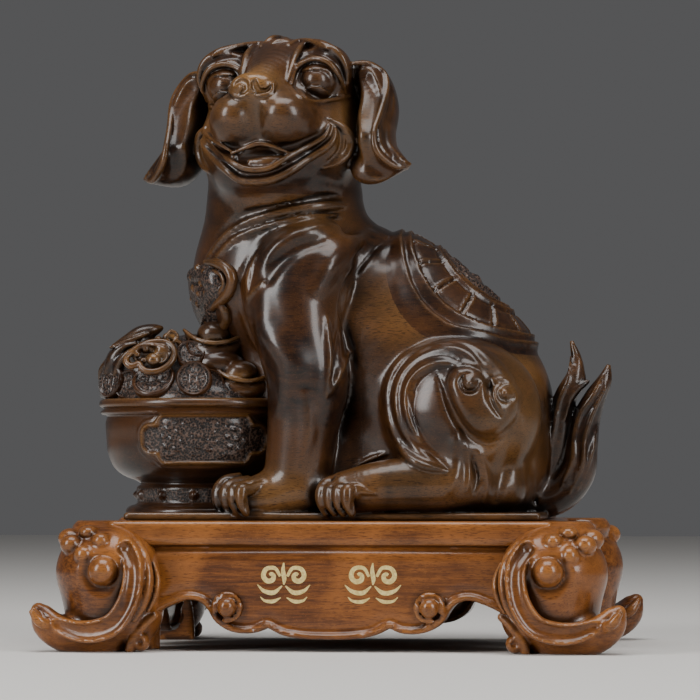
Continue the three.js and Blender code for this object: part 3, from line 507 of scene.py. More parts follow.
for place, (across, deep) in zip(("front_right", "front_left", "back_left", "back_right"), sides):
    turned_over = faces if across * deep > 0 else faces[:, ::-1]
    piece("scroll_corner_" + place, places * (across, deep, 1), turned_over, "plinth", plinth_wood,
          hollow=shade, worn=worn)

# The gold ornament on the front of the apron: two cloud scrolls brushed in gold paint, each of two
# spirals over long tapered strokes, as a thin film that follows the bowed wood.
gold_paint = bpy.data.materials.new("brushed_gold_paint")
gold_paint.use_nodes = True
tree = gold_paint.node_tree
shader = tree.nodes["Principled BSDF"]
spot = shader_node(tree, "TexNoise", {"Vector": shader_node(tree, "TexCoord").outputs["Object"],
                                      "Scale": 900.0, "Detail": 3.0}).outputs["Fac"]
tone = mixed(tree, spread_out(tree, spot, 0.35, 0.65), (0.58, 0.43, 0.15, 1), (0.76, 0.62, 0.27, 1))
uneven = shader_node(tree, "Bump", {"Strength": 0.2, "Distance": 0.0001, "Height": spot}).outputs[0]
tree.links.new(tone, shader.inputs["Base Color"])
tree.links.new(uneven, shader.inputs["Normal"])
shader.inputs["Metallic"].default_value = 0.35
shader.inputs["Roughness"].default_value = 0.42
film = 0.12


def brushed(knots):
    """A painted stroke: a smooth line through knots (x, z, half width) carried along the apron's
    front as a thin closed strip, its four edges joined and its two ends closed."""
    line = smooth_line(knots, 8)
    way = np.gradient(line[:, :2], axis=0)
    way /= span(*way.T)[:, None]
    side = np.stack([-way[:, 1], way[:, 0]], 1) * line[:, 2:]
    rows = []
    for edge, off in ((-1, -0.05), (1, -0.05), (1, film), (-1, film)):
        x, z = (line[:, :2] + edge * side).T
        rows.append(np.stack([x, -(apron_half_depth + bowed(x, slab_half_length) - 2 + off), z], -1))
    places = np.stack(rows, 1).reshape(-1, 3)
    ids = np.arange(len(places)).reshape(-1, 4)
    nxt = np.roll(ids, -1, 1)
    quads = np.stack([ids[:-1], ids[1:], nxt[1:], nxt[:-1]], -1).reshape(-1, 4)
    return places, [np.vstack([quads, ids[:1], ids[-1:, ::-1]])[:, ::-1]]


def joined(parts):
    """Several meshes as one: their corners stacked, and each one's face rows counted on from the
    corners before it."""
    starts = np.cumsum([0] + [len(places) for places, _ in parts])
    rows = [np.vstack([row + start for row, start in zip(kind, starts)])
            for kind in zip(*(faces for _, faces in parts))]
    return np.vstack([places for places, _ in parts]), rows


def spiral(middle, size, start, turns, hand):
    """Knots of a spiral stroke: the distance from its middle grows evenly with the turn."""
    share = np.linspace(0, 1, 9)
    turn = start + hand * turns * 2 * pi * share
    out = size * (0.12 + 0.88 * share)
    width = 0.45 + 0.75 * np.sin(pi * (0.1 + 0.8 * share))
    return np.stack([middle[0] + out * np.cos(turn), middle[1] + out * np.sin(turn), width], 1)


low_strokes = [[[0.8, 31.8, 0.3], [5, 28.6, 1.1], [9.6, 29.4, 0.9], [12.8, 32.4, 0.2]],
               [[1.4, 26.2, 0.2], [5.2, 24.4, 0.9], [9.4, 24.8, 0.6], [11.4, 26.6, 0.15]]]
strokes = []
for middle, size in ((-21.6, 1.0), (21.6, 1.06)):
    for hand in (-1, 1):
        strokes.append(spiral((middle + hand * 6.6 * size, 36.6), 4.9 * size, pi / 2 - hand * 0.6, 1.35,
                              hand))
        for knots in low_strokes:
            strokes.append([[middle + hand * out * (size if i > 1 else 1), up, width]
                            for i, (out, up, width) in enumerate(knots)])
    strokes.append([[middle, 43, 0.3], [middle - 0.3, 39, 1], [middle + 0.3, 35, 1],
                    [middle, 32.4, 0.3]])
places, faces = joined([brushed(stroke) for stroke in strokes])
piece("gold_ornament", places, faces, "plinth", gold_paint)

# The dog's head: a round skull with a short broad muzzle, bulging eyes under heavy brows, a laughing
# mouth and hanging ears. It is carved with the body in dark wood under a thick gloss lacquer.
dark_wood = lacquered("dark_lacquered_wood", deep=(0.0045, 0.0018, 0.0011),
                      middle=(0.021, 0.0072, 0.0029), warm=(0.07, 0.0255, 0.0068),
                      bright=(0.25, 0.12, 0.033), roughness=0.36, worn_share=0.26)
head_at = np.array([-30, -12.5, 264])
head_yaw = 10
head_pitch = 20
head_roll = 2
# Where the eye is when the strokes on the face are drawn.
sight_from = np.array([244.0, -1985.0, 91.0])


def head_axes():
    """The head's own side, forward and up directions, after its yaw, pitch and roll."""
    yaw, pitch, roll = radians(head_yaw), radians(head_pitch), radians(head_roll)
    forward = np.array([-sin(yaw) * cos(pitch), -cos(yaw) * cos(pitch), sin(pitch)])
    level = np.array([cos(yaw), -sin(yaw), 0])
    up = np.cross(level, forward)
    up = up if up[2] > 0 else -up
    side = level * cos(roll) + up * sin(roll)
    return np.stack([side, forward, up * cos(roll) - level * sin(roll)])


def laid_on(depth_at, knots, view, lift=0.0):
    """Knots (across, up, radius) of a view, each carried along the sight to the surface that it
    meets first, or passes nearest, and raised off it by lift. View is its three directions: across,
    up and along the sight."""
    across, up, radius = np.array(knots, float).T
    start = across[:, None] * view[0] + up[:, None] * view[1]
    gone = np.full(len(start), -130.0)
    least = np.full(len(start), far_off)
    nearest = gone.copy()
    for _ in range(70):
        gap = depth_at(start + gone[:, None] * view[2])
        closer = gap < least
        least[closer] = gap[closer]
        nearest[closer] = gone[closer]
        going = (least > 0.05) & (gone < 20)
        if not going.any():
            break
        gone = np.where(going, gone + np.maximum(gap * 0.75, 0.1), gone)
    return np.column_stack([start + (nearest - lift)[:, None] * view[2], radius])


head_turn = head_axes()
sight = (head_at - sight_from) / span(*(head_at - sight_from))
rightward = np.cross(sight, (0, 0, 1)) / span(*np.cross(sight, (0, 0, 1)))
face_view = np.stack([rightward, np.cross(rightward, sight), sight]) @ head_turn.T

# Head places are across, forward and up from the middle of the skull. Strokes on the face are given
# as they look from the front, in millimetres right of the skull's middle and above it.
skull_steps = [
    add(egg((0, -6, 4), (40, 38, 35))),
    add(egg((-24, 4, -18), (16, 24, 20)), 8, on_both),
    add(egg((-3, 12, -35), (27.5, 23.5, 17)), 6),
    add(egg((0.5, 21, -13), (26, 26, 17.2)), 5),
    add(limb([[-1, 40, -5, 9], [0, 27, 7, 12], [0, 8, 20, 16]]), 7),
    add(egg((-13, 28.5, -17), (14.6, 20, 13.5)), 3),
    add(egg((11.5, 28.5, -17.5), (15.5, 20, 13.5)), 3),
    add(egg((-26, 18, 14), (13, 13, 14)), 6, on_both),
    add(egg((-2, 44.4, -4.8), (12, 8, 7.4)), 0.8),
]
skull = carve(skull_steps, fold=0)


def face_strokes(depth_at, strokes):
    """Steps for strokes drawn on a carving as it looks from the front. Each is its change, how far it
    is raised, its fillet, whether it is one of a pair, and its knots; one of a pair is drawn on the
    side seen on the right, and flipped to the other, where paired forms are kept."""
    steps = []
    for change, lift, soft, paired, knots in strokes:
        laid = laid_on(depth_at, knots, face_view, lift) * (-1 if paired else 1, 1, 1, 1)
        steps.append(change(limb(laid, pieces=4), soft, paired))
    return steps


eye = laid_on(skull, [[16.3, 16.6, 0]], face_view, -5.4)[0, :3] * (-1, 1, 1)
ball, _, _ = egg(eye, (8.4, 9, 7.8))
lid_shell, _, _ = egg(eye, (9.7, 10.2, 9.1))
eyelid = (lambda points: np.maximum(lid_shell(points), 5 - (points - eye) @ (0, 0.3, 0.95)), eye, 12)
under_lid = (lambda points: np.maximum(lid_shell(points), 6.2 + (points - eye) @ (0, -0.1, 0.99)), eye,
             12)
eye_ring = [[16.3 + 10.2 * cos(turn), 16.8 + 9.4 * sin(turn), 1.3]
            for turn in np.radians(np.arange(0, 361, 30))]
face_lines = [
    # lids, and the brow over its groove
    (add, 0.9, 1, on_both, [
        [3.5, 16, 0.8], [6, 24, 1.3], [13.5, 28, 1.5], [21, 26.6, 1.5], [26.6, 20, 1.2],
        [30.5, 11.5, 0.6]]),
    (add, 0.5, 1, on_both, [
        [2.5, 14.5, 0.6], [8, 8.8, 1.1], [15.5, 6.8, 1.3], [24, 8.2, 1.2], [33, 9.8, 0.5]]),
    (dig, 0.2, 1.6, on_both, [
        [5, 27, 0.8], [11.5, 31.6, 1.7], [19, 31, 1.9], [26, 26, 1.6], [30, 17, 0.7]]),
    (add, 0.8, 1.2, on_both, [
        [1.5, 17.5, 0.7], [4, 25.5, 1.5], [6.8, 31.8, 2], [11.5, 35.6, 2.3], [19, 35, 2.3],
        [26.5, 30.6, 2], [30.2, 24, 1.5], [31, 16, 0.8]]),
    # nostrils and their wings
    (dig, -0.2, 0.4, once, [
        [-24.2, 15.4, 1], [-22, 17, 1.8], [-19.4, 15.6, 2], [-19.2, 13, 1.6], [-21.4, 10.6, 0.7]]),
    (dig, -0.2, 0.4, once, [
        [-14.6, 17.6, 1], [-14.6, 14.8, 2], [-12.6, 12.2, 1.7], [-8.6, 12.4, 1.2], [-6.4, 14.8, 0.6]]),
    (add, 0.1, 0.7, once, [[-26.8, 14.5, 0.7], [-26, 11.4, 1.2], [-22.6, 9.4, 1.3], [-18, 10, 0.9]]),
    (add, 0.1, 0.7, once, [[-5.4, 16, 0.7], [-6, 12.2, 1.2], [-9.4, 10.2, 1.3], [-14.4, 10, 0.9]]),
    # the muzzle's middle
    (dig, 2.6, 4, once, [[-16.8, 9.6, 1], [-16.4, 5, 3.4], [-15.6, -1, 4], [-14.8, -8, 2]]),
    # the mouth, its tongue, lips and chin
    (dig, 0.6, 1.4, once, [
        [-37, -9.5, 0.8], [-30, -14.6, 2.2], [-20, -17, 2.6], [-10, -16.4, 2.6], [2, -15.2, 2.6],
        [11, -12, 2.2], [19, -8, 0.8]]),
    (dig, -0.6, 1, once, [[-22, -20.4, 2.6], [-15, -20, 4.4], [-8, -19.8, 4.6], [-1, -20, 2.8]]),
    (add, -2.6, 0.8, once, [[-16.5, -22.6, 1.8], [-8, -22.3, 3], [-1.5, -20.8, 1.8]]),
    (add, 0.9, 0.8, once, [
        [-26, -18.4, 0.7], [-18.5, -15.2, 1.2], [-12, -13.4, 1.3], [-5.5, -14.8, 1.2],
        [2.6, -18.2, 0.7]]),
    (add, 0.9, 0.8, once, [[-40, -7, 0.7], [-37, -10, 1.3], [-31, -13.8, 1.3], [-25, -17.8, 0.7]]),
    (add, 0.9, 0.9, once, [
        [-40, -8.5, 0.6], [-34.5, -16, 1.3], [-26, -22.4, 1.4], [-20, -25.4, 1.5], [-14, -26.2, 1.5],
        [-7, -25, 1.5], [-1.5, -21.8, 1.4], [5, -18, 1.5], [13, -13.8, 1.5], [19.5, -9.8, 1.2],
        [22.4, -4.5, 0.6]]),
    (dig, 0.3, 0.9, once, [
        [-38, -13.6, 0.7], [-30, -21.6, 1.3], [-22, -27.8, 1.4], [-14.5, -28.9, 1.4], [-6, -27.6, 1.4],
        [4, -22.6, 1.5], [14, -16.8, 1.6], [21.4, -11, 0.9]]),
    (add, 0.6, 1, once, [
        [-41.5, -11, 0.8], [-39.5, -15.5, 1.5], [-34, -21.4, 1.8], [-28, -26.8, 1.9], [-22, -31, 2.1],
        [-14.5, -32, 2.2], [-5.5, -30.6, 2.1], [3, -26.6, 1.9], [12, -20.6, 1.8], [20, -15.6, 1.7],
        [24.2, -11, 1.4], [25, -5.5, 0.7]]),
    # cheeks
    (dig, 0.1, 1, on_both, [[25.2, -4, 0.7], [28, -10, 1.5], [27, -17, 1.5], [22, -22, 0.7]]),
    (add, 0.7, 1.2, on_both, [
        [22.5, -1.5, 0.7], [28.6, -5.4, 2], [32.6, -12, 2.6], [31, -18.4, 2.2], [25.6, -23, 1.4],
        [19, -25.4, 0.6]]),
]
face_steps = [
    *face_strokes(skull, [(dig, 0.6, 2, on_both, eye_ring)]),
    add((ball, eye, 10), 0.4, on_both),
    add(eyelid, 0.5, on_both),
    add(under_lid, 0.8, on_both),
    *face_strokes(skull, face_lines),
    add(limb([[-30, -2, 19, 6], [-43, -1, 17, 8.5], [-49, 0, 4, 9], [-49, 2, -12, 9],
              [-53, 4, -26, 8.6], [-66, 6, -33, 2.4]], (1, 0.55, 1)), 1.4, on_both),
    add(egg((50, 3, -31), (12.5, 6, 10), (0, -14, 0)), 4),
    add(egg((-2, 4, 37.6), (5, 5, 4)), 2),
]
bare_head = carve(skull_steps + face_steps, fold=0)
ear_steps = face_strokes(bare_head, [
    # the ears' hollows and rims
    (dig, 3.6, 2, on_both, [
        [38.5, 20, 5], [42, 12, 6.4], [41, 2, 6.4], [39.4, -8, 6], [39, -17, 6], [43, -25, 5.4],
        [50, -29, 4]]),
    (add, 0.9, 1, on_both, [
        [33, 26, 0.9], [41.5, 26, 1.3], [49, 21.6, 1.4], [50.4, 14, 1.5], [46.6, 1, 1.5],
        [43.6, -8, 1.6], [44.6, -16, 1.6], [49.6, -21.6, 1.6], [55.8, -24.8, 1.5], [61.4, -23.4, 0.9]]),
    (dig, 0.6, 2.4, on_both, [
        [53, 14, 0.8], [52.6, 4, 1.7], [50, -5, 1.8], [50.4, -13, 1.6], [54, -19, 0.8]]),
    # locks on the forehead
    (add, 0.6, 1.6, on_both, [[2, 35.4, 0.7], [7.5, 37.4, 1.2], [14, 36.8, 1.2], [21, 33.4, 0.6]]),
    (add, 0.1, 0.8, once, [[-10, 36.2, 0.8], [-6.4, 38.4, 1.7], [-2.6, 39, 1.5], [1.6, 37.6, 0.7]]),
    (add, 0.4, 0.8, once, [[-6, 36, 0.7], [-3, 37, 1.3], [3, 37, 0.7]]),
])
head_carving = carve(skull_steps + face_steps + ear_steps, fold=0)
head_form = (lambda points: head_carving((points - head_at) @ head_turn.T), head_at, 86)

# The dog's body, its legs, tail and base, with folds of skin, scrolls on the thigh and a blanket with
# a coin pattern: one carving with the head, standing on a thin base of the same wood.
figure_foot = slab_top + 0.3
base_thickness = 3.6
bowl_at = np.array([-73.0, 0.0])
blanket_at = np.array([57.5, 0, 174])
blanket_normal = np.array([0.64, 0, 0.768])
blanket_radius = 46
blanket_narrowing = 1.12
bead_radius = 40.4
field_radius = 20.4
pad_count = 14
torso_steps = [
    add(limb([[47, 0, 116, 56.5], [23, 0, 148, 51], [-12, 0, 178, 41]], (1, 1.22, 1))),
    add(egg((59, 0, 94), (44, 48, 40)), 8),
    add(egg((-36, 0, 182), (41, 42, 42)), 10),
    add(egg((-24, 0, 136), (36, 34, 48)), 10),
    add(egg((8, 0, 86), (64, 37, 42)), 8),
    add(limb([[-32, -2, 186, 42], [-31, -3, 222, 39], [-32, -8, 254, 35]]), 8),
    add(egg((-20.5, -34, 177), (27.5, 24, 38), (0, 14, 0)), 2.6, on_both),
    add(limb([[-21, -38, 170, 23], [-18.5, -41, 152, 21.5], [-14.5, -42, 132, 20.2],
              [-17, -42, 106, 17.3], [-20, -42, 80, 16]]), 3, on_both),
    add(limb([[-18, -42, 76, 15], [-33, -46, 74, 13], [-44, -49, 72, 10]]), 4, on_both),
    add(egg((62, -36, 115), (38, 27, 37)), 5, on_both),
    add(limb([[80, -34, 80, 13], [56, -47, 80.4, 15], [24, -54, 79.6, 12.6], [6, -55, 76.6, 10.6]]), 7,
        on_both),
]
bare_body = carve(torso_steps)
both_views = (np.eye(3)[[0, 2, 1]], np.array([[1, 0, 0], [0, 0, 1], [0, -1, 0]]))


def on_both_sides(change, knots, lift, soft, pieces=4):
    """A stroke laid on the body's near side, as seen from the front, and its like on the far side."""
    return [change(limb(laid_on(bare_body, knots, view, lift), pieces=pieces), soft)
            for view in both_views]


toe_steps = []
for i in range(4):
    for across, deep, top in ((-56 + 4.5 * i, -48.5 - 4.1 * i, 84.5 - 1.4 * i),
                              (-3.6 + 4.5 * i, -58.5 - 2.6 * i, 84 - 2 * i)):
        toe = [[8, 5, top + 0.4, 1.6], [1.8, 1, top - 2.2, 2.8], [-1.2, -1.4, 78, 3.2],
               [-1.2, -2.4, 72, 3], [0.8, -2.2, 66.8, 2]]
        gap = [[6.4, -1, top + 1, 0.5], [2.4, -2.8, top - 5, 1.2], [1, -4, 71, 1.1], [2.4, -4, 66, 0.6]]
        toe_steps.append(add(limb([[across + x, deep + y, z, r] for x, y, z, r in toe]), 0.3, on_both))
        toe_steps.append(dig(limb([[across + x, deep + y, z, r] for x, y, z, r in gap]), 0.4, on_both))

# Folds of skin and creases: each stroke's change, how far it is raised, its fillet and its knots.
folds = [
    # around the neck, down to the shoulder
    (add, -1.6, 3, [
        [-50, 218, 1.5], [-38, 219, 4], [-27, 222.4, 4.8], [-20, 225, 4.8], [-9, 226.6, 3.6],
        [-1, 226.4, 0.8]]),
    (add, 0.2, 1.6, [
        [3, 218.6, 0.6], [-4, 218, 2.8], [-13, 216.8, 3.2], [-28, 213.8, 2.4], [-43, 210.2, 2],
        [-56, 203.2, 1.8], [-66, 192.4, 1.2]]),
    (add, 0.5, 1.2, [
        [2, 213.2, 0.5], [-8, 212.2, 1.4], [-19, 210.6, 1.5], [-39.5, 205.8, 1.5], [-52, 200.8, 1.4],
        [-63, 190.5, 0.8]]),
    (dig, 0.5, 2, [
        [0, 222.2, 0.5], [-10, 221.5, 1.8], [-30, 217.6, 2], [-48, 212.4, 1.8], [-62, 203, 1]]),
    (add, -2.4, 4, [
        [-1, 206.6, 1.2], [-14, 202.8, 4], [-24, 198, 4.2], [-31, 192, 3.4], [-35.6, 185, 1]]),
    (dig, 1.4, 5, [[-6, 199.6, 0.8], [-18, 195.6, 2.4], [-27, 189, 2.2], [-32, 181, 0.8]]),
    # on the shoulder and the foreleg's upper part
    (add, 0.4, 1.4, [[-39, 192.5, 0.8], [-42.4, 183, 1.7], [-43.2, 171.5, 0.7]]),
    (add, 0.3, 1.2, [[-43.2, 171.5, 0.7], [-38.6, 175.6, 1.2], [-34, 179.6, 0.6]]),
    (dig, 0.5, 1.6, [
        [-36.6, 199, 0.6], [-43.6, 190, 1.2], [-48.4, 178.6, 1.5], [-47.4, 167, 1.5],
        [-43.4, 156, 1.3], [-39.4, 146, 1.2], [-35.4, 136, 0.8]]),
    (add, -2.6, 5, [[13, 203.6, 1.5], [4, 196.6, 5], [-3, 188, 5.6], [-8, 176, 3]]),
    (dig, 0.6, 2.6, [
        [23, 203, 0.5], [16.6, 196.8, 1], [9.4, 187, 1.6], [4.8, 177, 1.8], [2.8, 167, 1.6],
        [3.8, 155.8, 1.4], [6.8, 146, 1.2], [8, 138, 0.6]]),
    # behind the foreleg, and the muscle along it
    (add, -0.1, 2, [[-3.4, 162, 0.5], [-2.2, 149, 1.5], [-1.4, 138.5, 1.7], [-3, 124, 0.6]]),
    (add, 0, 1.8, [[5.6, 145, 0.6], [3, 135.4, 1.8], [-1, 125.6, 0.6]]),
    (dig, 0.7, 2.4, [[1.6, 154, 0.5], [1.4, 143, 1.7], [-0.4, 131, 0.6]]),
    (add, -4, 7, [
        [-33, 172, 1], [-31.6, 156, 5], [-25.4, 148, 6], [-20, 141, 6], [-19.6, 133, 5],
        [-23, 120, 1.6]]),
    (add, -1.4, 4, [[-14, 124, 1], [-12, 108, 2.6], [-15, 92, 1]]),
    # above the hind paw
    (add, 0.4, 1.2, [[8, 89.4, 0.6], [15.5, 92.6, 1.2], [24, 95.8, 0.6]]),
    (add, 0.4, 1, [[8.6, 79.6, 0.7], [12.6, 79.8, 1.3], [17, 78.6, 0.6]]),
    (add, 0.4, 1, [[8.6, 76.6, 0.7], [14.6, 77.2, 1.4], [22, 76.2, 0.6]]),
]
fold_steps = [step for change, lift, soft, knots in folds
              for step in on_both_sides(change, knots, lift, soft)]


def stroke_share(knots):
    """How strongly places (x, z) lie on a stroke drawn through knots (x, z, half width): a bell
    across it, as high as its width there is to its greatest."""
    line = smooth_line(knots, 6)

    def share(x, z):
        best = np.zeros(len(x))
        for away, width in stretches(line, np.stack([x, z], 1)):
            width = np.maximum(width, 0.2)
            best = np.maximum(best, width / line[:, 2].max() * swell(away, width))
        return best
    return share


def inside_of(knots):
    """How far places (x, z) lie within a flat form drawn by circles through knots (x, z, radius)."""
    line = smooth_line(knots, 6)

    def depth(x, z):
        return np.max([radius - away for away, radius in stretches(line, np.stack([x, z], 1))], axis=0)
    return depth


# The scroll on the haunch: a broad band curls over it and ends in two rolled curls above a hanging
# drop; a slot and two folds run down to the hock. Strokes are (height, knots), digs being negative.
scroll_band = inside_of([[56, 87, 1], [46, 91.5, 4.6], [36, 101, 7.2], [31, 113, 8.6], [30.5, 124, 8.8],
                         [35.5, 136, 8.4], [46, 143.2, 7.8], [57, 145, 7.8], [67, 142.4, 7.6],
                         [75.5, 136.5, 7], [82, 129.6, 6.4]])
hanging_drop = inside_of([[65.5, 129.5, 9.6], [69, 121, 9.8], [74.6, 113, 9.8], [80.6, 117.6, 9.8],
                          [83.4, 122.4, 8.4]])
thigh_strokes = [(height, stroke_share(knots)) for height, knots in [
    (1.4, [
        [54, 87, 1], [44.4, 90.6, 2.4], [33, 98.6, 3], [26.4, 110.2, 3.2], [23.6, 123.5, 3.2],
        [27.2, 135, 3.2], [35.4, 144.4, 3.4], [46.4, 149.6, 3.8], [58.2, 151, 4], [68, 148.6, 3.4],
        [77.4, 142.2, 2.8], [84.8, 133.6, 2.2], [88.8, 125, 1]]),
    (-1.2, [
        [52, 90, 0.8], [41, 95, 1.6], [32.6, 103.4, 1.8], [28.6, 114, 1.7], [27.4, 124.6, 1.6],
        [30.4, 135, 1.7], [38, 143.4, 2], [48.4, 148, 1.8], [58.6, 149.4, 1.4], [67, 146.6, 1.2],
        [73, 140, 0.8]]),
    (0.7, [
        [31.6, 112, 0.6], [30.4, 119, 1.1], [30.3, 127, 1.2], [33.4, 136, 1.3], [41, 143.6, 1.4],
        [50.2, 147, 1.4], [58, 147.4, 1.4], [65.4, 144.4, 1.4], [71.3, 138.2, 1.3],
        [73.8, 130.6, 1.2], [74.2, 122, 0.7]]),
    (-0.9, [
        [52, 92.4, 0.7], [42.6, 99.6, 1.4], [35.4, 109, 1.5], [32.8, 119, 1.4], [33.4, 128.6, 1.5],
        [38.4, 137, 1.8], [47, 142, 1.9], [56, 142.4, 1.7], [64, 138.6, 1.2]]),
    (0.6, [
        [56, 88.5, 0.7], [48.2, 96.2, 1.3], [41.4, 104.8, 1.4], [37, 114, 1.4], [35.3, 123.4, 1.4],
        [37.4, 131.6, 1.4], [43.4, 137.4, 1.5], [51.7, 139.6, 1.6], [59, 137.6, 1.5], [64, 134, 0.8]]),
    (-0.5, [
        [52, 94.6, 0.6], [44.6, 103.6, 1], [39.6, 113, 1], [37.2, 122, 1], [38.8, 130, 1],
        [44, 135, 0.7]]),
    (-3, [
        [51.6, 132.6, 0.8], [54.6, 126, 1.8], [58, 117.4, 2.4], [62.6, 109.4, 3], [68.4, 102.8, 3.2],
        [74.6, 100.2, 3], [80.6, 102.2, 2.2], [86, 106.4, 1.3], [89.6, 111.4, 0.6]]),
    (-2, [
        [67.6, 134.2, 0.5], [64, 132.6, 0.9], [63.4, 128.8, 1.1], [66, 125.6, 1.2], [70, 126, 1.2],
        [72, 129.6, 0.8]]),
    (1.2, [[70, 138, 0.7], [64, 139, 1.3], [58.6, 136, 1.3], [56.4, 130, 0.7]]),
    (-2.2, [[76.6, 132, 0.7], [77, 125.6, 1.3], [78.4, 119.4, 1.4], [82, 113.8, 0.8]]),
    (-1.8, [[84.6, 129, 0.5], [81.6, 127, 0.9], [81.6, 123, 1.1], [84.6, 121, 1.1], [88, 122.6, 0.8]]),
    (1, [[79, 130, 0.6], [82.4, 131.4, 1.1], [86.6, 130, 1.1], [89.4, 126, 1.1], [89.4, 119, 0.6]]),
    (-1.8, [[67.4, 95, 0.5], [69, 88.6, 1.2], [70, 82.6, 1.4], [68.2, 76.6, 0.6]]),
    (1, [[65.6, 99, 0.7], [66.6, 92, 1.3], [66.8, 84, 1.3], [65.4, 77, 0.6]]),
    (1.5, [[71.4, 96, 0.8], [74.2, 88, 1.5], [75.6, 79.4, 1.6], [73, 71.6, 0.9]]),
    (-2.6, [[90, 112, 1.6], [86.8, 103, 4.2], [83, 93, 4.8], [80, 83, 4], [78.4, 73, 2]]),
    (2.0, [[62, 106, 1.6], [60, 98, 4], [60.6, 88, 4], [58, 78, 2]]),
]]
curl_balls = [(67.4, 129.6, 2.7, 1.8), (85, 125, 2.5, 1.6)]
far_share = 0.7


def thigh_relief(x, z):
    """How far the scroll rises on the haunch: its band and drop as cushions with steep sides, the
    balls of its curls, and the sum of its strokes."""
    band = np.maximum(scroll_band(x, z), 0)
    drop = np.maximum(hanging_drop(x, z), 0)
    rise = np.maximum(3 * (1 - np.exp(-band / 1.8)), 5.8 * (1 - np.exp(-drop / 1.7)))
    for across, up, radius, height in curl_balls:
        rise = rise + height * swell(span(x - across, z - up), radius * 0.72)
    for height, share in thigh_strokes:
        rise = rise + height * share(x, z)
    return rise


def thigh_change(depth, points):
    """The near thigh's scrolls, and shallower ones on the far side, fading towards the back."""
    x, y, z = points.T
    near = np.clip((np.abs(y) - 36) / 10, 0, 1) * (x > 15) * (x < 97) * (z < 160)
    rise = np.zeros(len(x))
    there = near > 0
    rise[there] = thigh_relief(x[there], z[there])
    return depth - near * np.where(y < 0, 1, far_share) * rise


def blanket_measure(points):
    """A point's distance from the blanket's axis, counted wider across the back and more where the
    flank falls away under the blanket, its angle around the axis and its height along it."""
    off = points - blanket_at
    along = off @ blanket_normal
    down = off[:, 0] * blanket_normal[2] - off[:, 2] * blanket_normal[0]
    across = off[:, 1] * blanket_narrowing
    return span(down, across, np.minimum(along + 8, 0)), np.arctan2(across, down), along


def falls(value, end, width):
    """A step down from one to nothing about an end, as a logistic curve of the width given."""
    return 1 / (1 + np.exp((value - end) / width))


def blanket_change(depth, points):
    """The blanket: a plate with a sloped edge between two beads, a ring of smooth pads parted by
    double lines, and a double ridge around a sunk field with a four-petalled flower."""
    out, turn, along = blanket_measure(points)
    plate = 2.4 * falls(out, blanket_radius, 0.5) + 1.6 * falls(out, bead_radius + 0.6, 0.7)
    beads = 1.3 * swell(out - blanket_radius + 1.8, 1) + 1.3 * swell(out - bead_radius, 1)
    inner = 1.5 * swell(out - field_radius - 4, 1) + 1.3 * swell(out - field_radius - 1, 0.9)
    inner = inner - falls(out, field_radius, 0.4)
    sector = (turn / (2 * pi) * pad_count + 0.5) % 1 - 0.5
    gap = np.abs(sector) * 2 * pi / pad_count * out
    pads = np.where((out > 25.6) & (out < 39.4), 0.6 * swell(gap - 1.5, 0.6) - 1.3 * swell(gap, 0.6), 0)
    pads = pads - 0.7 * swell(out - 38.4, 0.8) - 0.7 * swell(out - 26.6, 0.8)
    petal = np.abs(out - 9 - 6 * np.abs(np.cos(2 * turn)))
    field = np.where(out < field_radius - 0.9, 1.3 * swell(petal, 1.1) + 1.6 * swell(out, 3), 0)
    there = (along > -60) & (out < blanket_radius + 6)
    return depth - np.where(there, plate + beads + inner + pads + field, 0)


tail_steps = [
    add(limb([[92, 0, 72, 10], [106, -1, 76, 9.6], [115, -3, 86, 9], [117.5, -4, 99, 8],
              [119.6, -4, 112, 7], [124, -5, 123, 5.4], [129, -6, 132, 3.6], [131, -6, 139.3, 1.1]],
             (1, 0.8, 1)), 4),
    add(limb([[100, 0, 84, 7], [105.4, -2, 98, 7], [107.4, -3, 112, 6.4], [109.6, -3, 124, 5.6],
              [114.4, -3, 134, 4.6], [114.8, -2, 142.6, 2.8], [112.6, -2, 151, 1.1]], (1, 0.8, 1)), 1.2),
    add(limb([[103, -4, 108, 3.4], [107.6, -6.6, 118, 3.6], [113.6, -7.6, 126, 2.8],
              [121.6, -7, 132, 0.9]]), 0.8),
]
bare_tail = carve([tail_steps[0], tail_steps[1]])
strands = [
    (0.4, 1.3, [[101.5, 92], [104, 106], [106.6, 121], [111.4, 133], [112.6, 146]]),
    (0.3, 1.2, [[109.5, 112], [112.6, 123], [118.4, 131.6], [116.4, 143]]),
    (0.4, 1.4, [[108, 80], [113.6, 92], [114.4, 104], [117.4, 115], [124, 125], [128.6, 135]]),
    (0.4, 1.3, [[112, 76], [118.4, 90], [119.6, 103], [123.6, 116], [130.4, 129]]),
    (0.3, 1.2, [[116, 78], [122.6, 95], [125.4, 109]]),
]
for lift, radius, knots in strands:
    for view in both_views:
        laid = laid_on(bare_tail, [[x, z, radius] for x, z in knots], view, lift)
        laid[[0, -1], 3] = 0.5
        tail_steps.append(add(limb(laid, pieces=4), 0.8))
rump_line = [[99.8, 131, 0.6], [102.2, 122.3, 1.6], [101.8, 110, 1.6], [100.6, 98.6, 1.5],
             [97.6, 86.8, 1.3], [95, 71.4, 0.8]]
tail_steps.append(dig(limb(laid_on(bare_body, rump_line, both_views[0], 6), pieces=4), 1.2))
base_steps = [add(block((-1, 0, figure_foot - 1), (102, 59, base_thickness + 1), 1.5), 0.8)]
body_steps = torso_steps + toe_steps + fold_steps + [shape(thigh_change)]
rest_steps = [add(head_form, 6)] + tail_steps + base_steps
plain_dog = carve(body_steps + rest_steps)
dog = carve(body_steps + [shape(blanket_change)] + rest_steps)
neck_cut = 223.0
haunch_from = np.array([12.0, -9.0, 162.0])
overlap = 4.0


